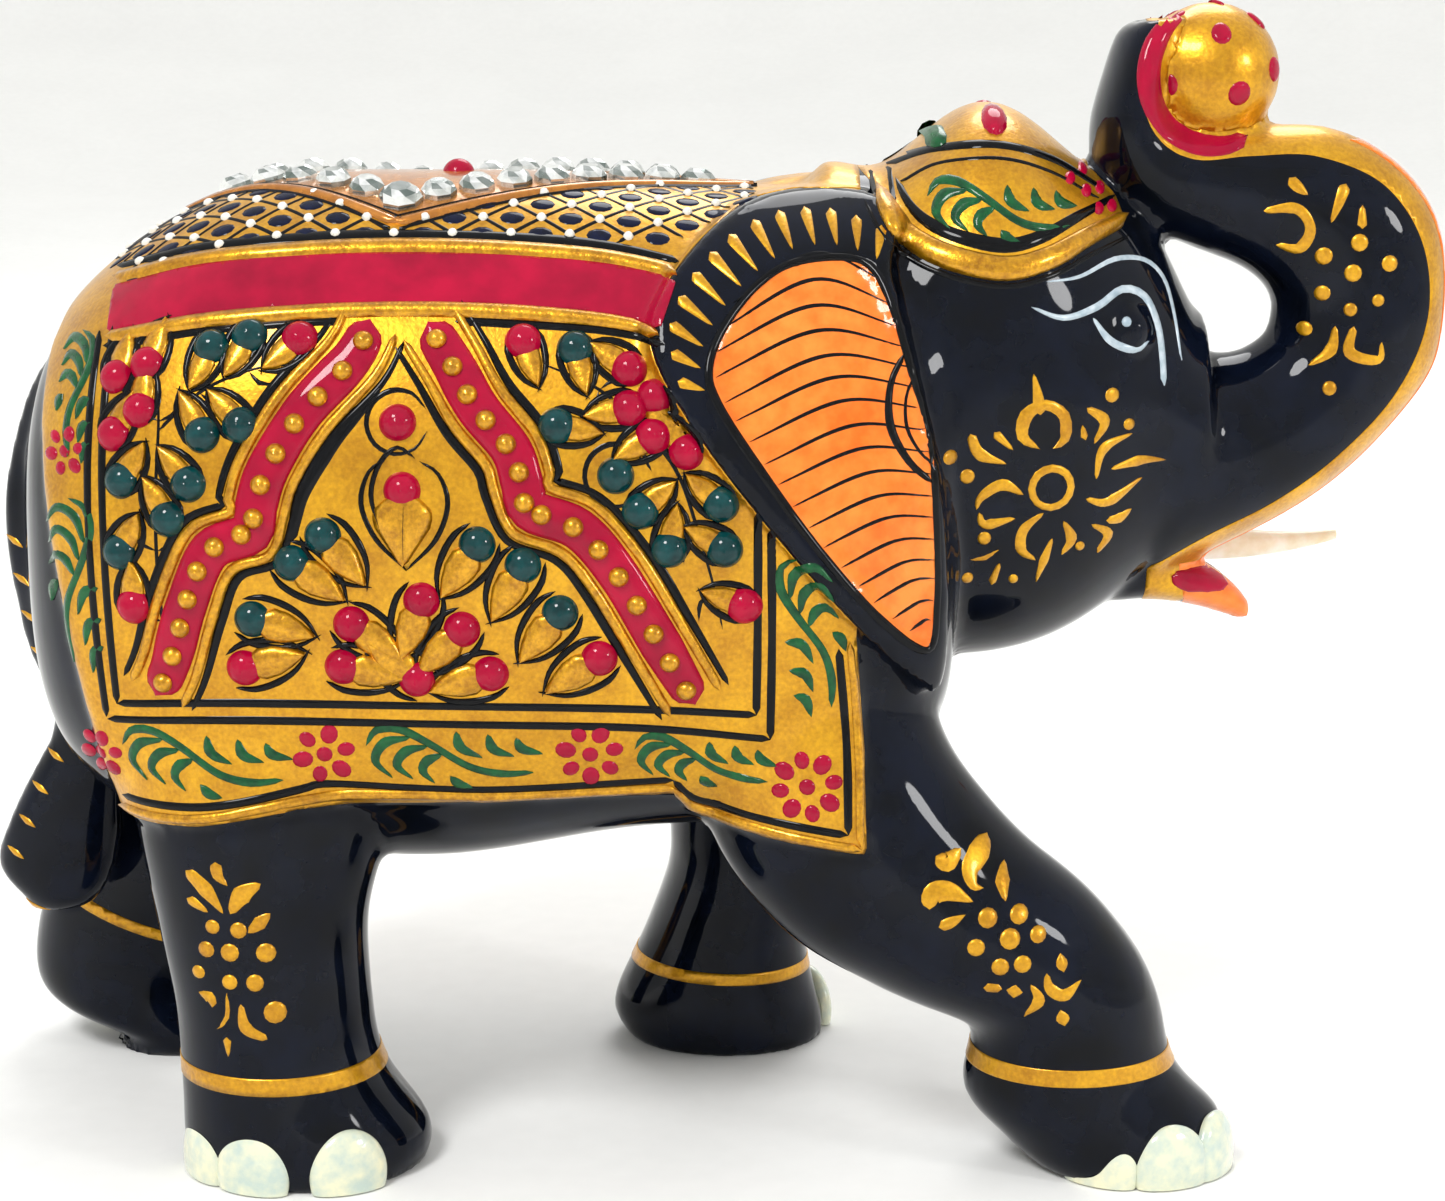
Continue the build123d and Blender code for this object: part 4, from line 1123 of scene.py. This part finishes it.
CHEEK_STROKES = [
    ([(30.9, 70.2), (29.3, 71.4), (29.6, 73.4), (31.4, 74.3), (33.2, 73.2), (33.3, 71.0), (32.2, 70.2)], [0.3, 1.0, 1.3, 0.9, 1.0, 1.1, 0.3]),
    ([(30.2, 77.2), (30.6, 75.4), (30.9, 73.4)], [0.25, 0.9, 1.3]),
    ([(40.0, 71.0), (37.2, 69.8), (36.5, 67.0)], [0.2, 1.0, 0.3]),
    ([(35.6, 65.1), (37.9, 64.6), (41.2, 66.6)], [0.4, 1.0, 0.2]),
    ([(38.0, 67.8), (41.0, 68.3), (43.6, 68.1)], [0.3, 1.0, 0.15]),
    ([(29.5, 65.9), (27.5, 66.9), (25.6, 65.8), (25.1, 64.6)], [0.3, 1.1, 0.9, 0.3]),
    ([(25.4, 64.3), (26.0, 63.1), (28.8, 63.6)], [0.4, 1.0, 0.3]),
    ([(31.5, 64.0), (29.7, 62.4), (29.6, 60.4), (31.0, 59.3)], [0.3, 0.9, 1.0, 0.3]),
    ([(33.5, 63.1), (34.4, 61.2), (33.5, 59.7)], [0.3, 1.1, 0.3]),
    ([(32.5, 61.4), (31.9, 59.4), (31.2, 57.0)], [0.3, 0.9, 0.2]),
    ([(35.4, 73.8), (37.2, 72.4), (36.2, 70.4)], [0.5, 1.1, 0.3]),
    ([(35.0, 72.2), (35.3, 70.8)], [0.3, 0.8]),
    ([(24.4, 71.8), (25.3, 69.9), (27.8, 68.9)], [0.8, 1.1, 0.2]),
    ([(26.6, 71.9), (28.4, 70.2)], [0.9, 0.3]),
    ([(24.8, 59.6), (26.2, 59.7), (27.4, 60.5)], [0.3, 0.6, 0.2]),
    ([(27.6, 59.1), (26.9, 56.9)], [0.4, 0.8]),
    ([(36.3, 62.5), (38.1, 61.3), (37.1, 59.5)], [0.3, 1.0, 0.4]),
    ([(37.8, 62.7), (39.2, 62.8), (40.3, 63.6)], [0.6, 1.0, 0.3]),
]
CHEEK_DOTS = [(37.9, 74.8, 0.75), (39.7, 71.9, 0.6), (22.5, 69.8, 0.75), (24.2, 67.8, 0.75), (26.0, 61.7, 0.7), (24.6, 57.7, 0.6), (29.0, 57.4, 0.5), (35.3, 60.4, 0.5)]
TRUNK_STROKES = [
    ([(55.4, 94.2), (56.2, 93.4), (57.2, 92.6)], [1.1, 1.0, 0.3]),
    ([(60.9, 93.6), (60.2, 91.8), (59.5, 90.0)], [1.2, 0.9, 0.3]),
    ([(62.5, 91.6), (62.5, 89.4)], [0.5, 1.0]),
    ([(53.1, 91.1), (56.2, 91.3), (57.6, 89.4), (56.7, 87.5), (54.6, 87.8)], [0.5, 1.0, 0.9, 1.1, 0.4]),
    ([(60.4, 80.1), (60.0, 77.8), (58.0, 76.3)], [0.4, 1.1, 0.3]),
    ([(62.1, 80.1), (61.8, 77.6), (64.6, 76.9), (64.8, 78.6)], [0.6, 1.1, 0.9, 0.3]),
]
TRUNK_DOTS = [
    (59.0, 86.8, 0.9), (62.3, 88.1, 0.9), (65.3, 86.1, 0.85), (61.8, 85.2, 0.9), (59.1, 83.2, 0.8), (61.7, 81.7, 0.7),
    (64.3, 82.6, 0.65), (57.7, 79.7, 0.75), (59.9, 74.2, 0.75),
]


def strokes_and_dots(film, place, strokes, dots):
    """Several free strokes, then dots given as x, z and radius."""
    for path, widths in strokes:
        film.stroke(place, path, [width * 1.2 for width in widths], 0.13)
    for x, z, radius in dots:
        film.dot(place, (x, z), radius, 0.2)


FORELEG_STROKES = [
    ([(21.4, 33.0), (22.5, 32.4), (23.8, 33.4)], [0.9, 1.7, 0.6]),
    ([(26.4, 34.2), (25.6, 32.9), (24.7, 31.5), (25.0, 30.1), (25.9, 29.8)], [1.2, 2.0, 1.7, 0.9, 0.2]),
    ([(28.0, 31.8), (27.8, 30.2), (28.0, 28.5)], [0.4, 1.4, 0.3]),
    ([(20.8, 28.2), (21.0, 29.5), (22.5, 29.8), (24.9, 28.7)], [1.0, 1.9, 1.3, 0.2]),
    ([(21.7, 26.5), (22.8, 26.9), (24.2, 27.6)], [1.0, 1.0, 0.15]),
    ([(26.0, 20.5), (27.7, 20.4)], [0.9, 0.8]),
    ([(29.0, 20.8), (28.8, 19.5)], [0.3, 1.5, 0.8]),
    ([(30.4, 20.8), (31.2, 19.2), (29.9, 17.5)], [0.3, 1.2, 0.2]),
    ([(31.9, 21.8), (32.2, 20.4), (33.6, 19.6), (35.2, 20.9)], [0.4, 1.1, 1.1, 0.15]),
    ([(33.2, 23.5), (33.5, 21.8)], [0.2, 1.2, 0.5]),
    ([(33.3, 18.2), (33.7, 16.6)], [0.2, 1.3, 0.7]),
    ([(30.7, 35.4), (30.3, 34.5)], [0.25, 0.2]),
    ([(33.2, 32.5), (32.8, 31.6)], [0.3, 0.2]),
    ([(35.7, 30.2), (35.4, 29.3)], [0.3, 0.2]),
    ([(38.0, 27.8), (37.7, 27.0)], [0.25, 0.2]),
]
FORELEG_DOTS = [
    (26.3, 27.2, 1.0), (29.3, 27.3, 0.95), (28.4, 25.2, 1.05), (31.1, 25.4, 0.85), (25.2, 24.5, 0.9), (27.5, 22.6, 0.9),
    (29.6, 22.8, 0.9),
]
# Drawn round the middle of the hind leg's flower.
HIND_LEG_STROKES = [
    ([(-1.2, 7.5), (-1.0, 6.2), (-0.1, 5.3)], [1.2, 1.0, 0.2]),
    ([(-4.1, 6.4), (-2.3, 4.8), (-0.6, 2.6)], [1.0, 1.5, 0.2]),
    ([(3.0, 5.5), (1.2, 4.4), (0.1, 2.6)], [0.5, 1.7, 0.6]),
    ([(-4.1, 3.7), (-2.1, 2.6)], [1.0, 0.8, 0.3]),
    ([(3.8, 2.6), (2.8, 1.7), (1.7, 0.8)], [0.4, 1.3, 0.5]),
    ([(-3.3, -5.5), (-2.1, -6.0), (-2.0, -6.8)], [0.3, 1.2, 0.5]),
    ([(-0.5, -5.2), (-0.6, -7.6), (-1.6, -8.9)], [0.3, 0.6, 0.4]),
    ([(0.8, -6.2), (1.2, -8.5), (3.2, -9.6)], [0.4, 1.2, 0.6]),
    ([(-0.7, -9.6), (-0.6, -11.5)], [0.9, 0.2]),
]
HIND_LEG_DOTS = [
    (-1.7, 1.2, 0.75), (0.8, 1.0, 0.85), (-2.4, -1.1, 0.85), (-0.1, -1.2, 0.95), (3.3, -1.2, 1.0), (-3.3, -3.5, 0.7),
    (-0.2, -4.1, 0.8), (2.2, -4.1, 0.9), (4.0, -7.0, 1.15),
]
HIND_LEG_MIDDLE = (-44.3, 25.0)
LEFT_LEG_MIDDLES = [(4.4, 24.6), (-57.4, 26.0)]


def moved(strokes, dots, middle):
    """The same flower drawn round another middle."""
    x, z = middle
    placed = [([(u + x, v + z) for u, v in path], widths) for path, widths in strokes]
    return placed, [(u + x, v + z, radius) for u, v, radius in dots]


class ELEPHANT_OT_flowers(bpy.types.Operator):
    """Paint the gold flowers on the cheeks, trunk and legs"""
    bl_idname = "elephant.flowers"
    bl_label = "Gold flowers"

    def execute(self, context):
        for side, word in zip(SIDES, ("right", "left")):
            place = on_side(side)
            gold = Film()
            ring = [Vector((32.2, 66.4)) + Vector((math.cos(a), math.sin(a))) * 1.9 for a in np.linspace(0, 2 * math.pi, 9)[:-1]]
            gold.stroke(place, ring, [0.8, 0.9, 0.75, 0.85], 0.13, closed=True)
            strokes_and_dots(gold, place, CHEEK_STROKES, CHEEK_DOTS)
            strokes_and_dots(gold, place, TRUNK_STROKES, TRUNK_DOTS)
            if side < 0:
                strokes_and_dots(gold, place, FORELEG_STROKES, FORELEG_DOTS)
                middles = [HIND_LEG_MIDDLE]
            else:
                middles = LEFT_LEG_MIDDLES
            for middle in middles:
                strokes_and_dots(gold, place, *moved(HIND_LEG_STROKES, HIND_LEG_DOTS, middle))
            gold.piece("gold_flowers_" + word, "brushed_gold_paint", "gold_relief")
        return {"FINISHED"}


class ELEPHANT_OT_feet(bpy.types.Operator):
    """Paint the gold bands round the ankles and the dashes on the tail"""
    bl_idname = "elephant.feet"
    bl_label = "Ankles and tail"

    def execute(self, context):
        points = SKIN["points"]
        x, y, z = points.T
        bands = (
            ("right_hind", -1, (-54.0, -24.0), 10.6, 0.0, 0.85),
            ("right_front", -1, (20.0, 52.0), 11.2, 0.0, 0.85),
            ("left_front", 1, (-14.0, 16.0), 8.9, -0.05, 0.65),
            ("left_hind", 1, (-78.0, -46.0), 15.6, -0.42, 0.65),
        )
        for name, side, span, height, slope, half in bands:
            middle = sum(span) / 2
            level = z - height - slope * (x - middle)
            fields = [half - level, half + level, x - span[0], span[1] - x, side * y - 2]
            painted_area("ankle_band_" + name, fields, 0.08, "brushed_gold_paint")
        dashes = Film()
        rear = [(-69.8, 58.5), (-68.3, 48.5), (-66.2, 39.5), (-69.5, 31.5), (-72.0, 25.5)]
        for side in SIDES:
            place = on_side(side)
            for k in range(10):
                spot = Vector(along_path(rear, k / 9))
                dashes.stroke(place, [spot + Vector((0.4, 0.2)), spot + Vector((2.2, -0.9))], [0.3, 0.8, 0.2], 0.12)
        dashes.piece("tail_dashes", "brushed_gold_paint", "gold_relief")
        return {"FINISHED"}


class ELEPHANT_OT_stage(bpy.types.Operator):
    """Set the floor, the lights and the camera"""
    bl_idname = "elephant.stage"
    bl_label = "Stage"

    def execute(self, context):
        deselect()
        scene = context.scene
        scene.view_settings.view_transform = "Standard"
        bpy.ops.mesh.primitive_circle_add(vertices=96, radius=0.7, fill_type="NGON", location=(0, 0, -0.02 * MM))
        floor = context.object
        floor.name = "floor"
        bpy.ops.object.mode_set(mode="EDIT")
        bpy.ops.mesh.select_mode(type="EDGE")
        radius, height = 0.7, 0.0
        for next_radius, next_height in ((1.0, 0.02), (1.2, 0.08), (1.34, 0.2), (1.42, 0.4), (1.45, 0.8), (1.46, 1.3)):
            bpy.ops.mesh.extrude_edges_move(TRANSFORM_OT_translate={"value": (0, 0, next_height - height)})
            grow = next_radius / radius
            bpy.ops.transform.resize(value=(grow, grow, 1), center_override=(0, 0, 0))
            radius, height = next_radius, next_height
        bpy.ops.object.mode_set(mode="OBJECT")
        bpy.ops.object.transform_apply(location=True, rotation=True, scale=True)
        bpy.ops.object.shade_smooth_by_angle(angle=math.radians(60))
        floor.data.materials.append(material("paper_sweep"))
        world = bpy.data.worlds.new("studio")
        scene.world = world
        world.use_nodes = True
        world.node_tree.nodes["Background"].inputs["Color"].default_value = linear("FFFFFF")
        world.node_tree.nodes["Background"].inputs["Strength"].default_value = 0.9
        for name, place, size, power in (
            ("key", (-0.28, -0.45, 0.62), 0.22, 3.2),
            ("fill", (0.55, -0.35, 0.30), 0.12, 0.9),
            ("rim", (0.1, 0.5, 0.6), 0.4, 1.8),
        ):
            light = bpy.data.lights.new(name, "AREA")
            light.energy = power
            light.shape = "DISK"
            light.size = size
            lamp = bpy.data.objects.new(name, light)
            lamp.location = place
            lamp.rotation_euler = (Vector((0, 0, 0.05)) - Vector(place)).to_track_quat("-Z", "Y").to_euler()
            scene.collection.objects.link(lamp)
        camera = bpy.data.cameras.new("camera")
        camera.lens = 74.74
        camera.sensor_width = 36.0
        camera.clip_start = 0.01
        holder = bpy.data.objects.new("camera", camera)
        target = Vector((1.6 * MM, 0, 51.8 * MM))
        rise = math.radians(12)
        holder.location = target + Vector((0, -math.cos(rise), math.sin(rise))) * 0.300
        holder.rotation_euler = (target - holder.location).to_track_quat("-Z", "Y").to_euler()
        scene.collection.objects.link(holder)
        scene.camera = holder
        return {"FINISHED"}


OPERATORS = (
    ELEPHANT_OT_carving, ELEPHANT_OT_cloth, ELEPHANT_OT_cloth_lines, ELEPHANT_OT_embossing, ELEPHANT_OT_crystals,
    ELEPHANT_OT_trims, ELEPHANT_OT_lattice,
    ELEPHANT_OT_borders, ELEPHANT_OT_ears, ELEPHANT_OT_head, ELEPHANT_OT_trunk, ELEPHANT_OT_flowers,
    ELEPHANT_OT_feet, ELEPHANT_OT_stage,
)


class ELEPHANT_PT_panel(bpy.types.Panel):
    """The elephant's pieces in the sidebar"""
    bl_idname = "ELEPHANT_PT_panel"
    bl_label = "Carved Elephant"
    bl_space_type = "VIEW_3D"
    bl_region_type = "UI"
    bl_category = "Elephant"

    def draw(self, context):
        for operator in OPERATORS:
            self.layout.operator(operator.bl_idname)
        for name in ("voxel", "outline", "lattice", "sweep"):
            self.layout.prop(context.scene.elephant, name)


CLASSES = (ElephantSettings, *OPERATORS, ELEPHANT_PT_panel)


def register():
    for kind in CLASSES:
        bpy.utils.register_class(kind)
    bpy.types.Scene.elephant = bpy.props.PointerProperty(type=ElephantSettings)


def unregister():
    del bpy.types.Scene.elephant
    for kind in reversed(CLASSES):
        bpy.utils.unregister_class(kind)


def main():
    register()
    for operator in OPERATORS:
        group, name = operator.bl_idname.split(".")
        getattr(getattr(bpy.ops, group), name)()


if __name__ == "__main__":
    main()
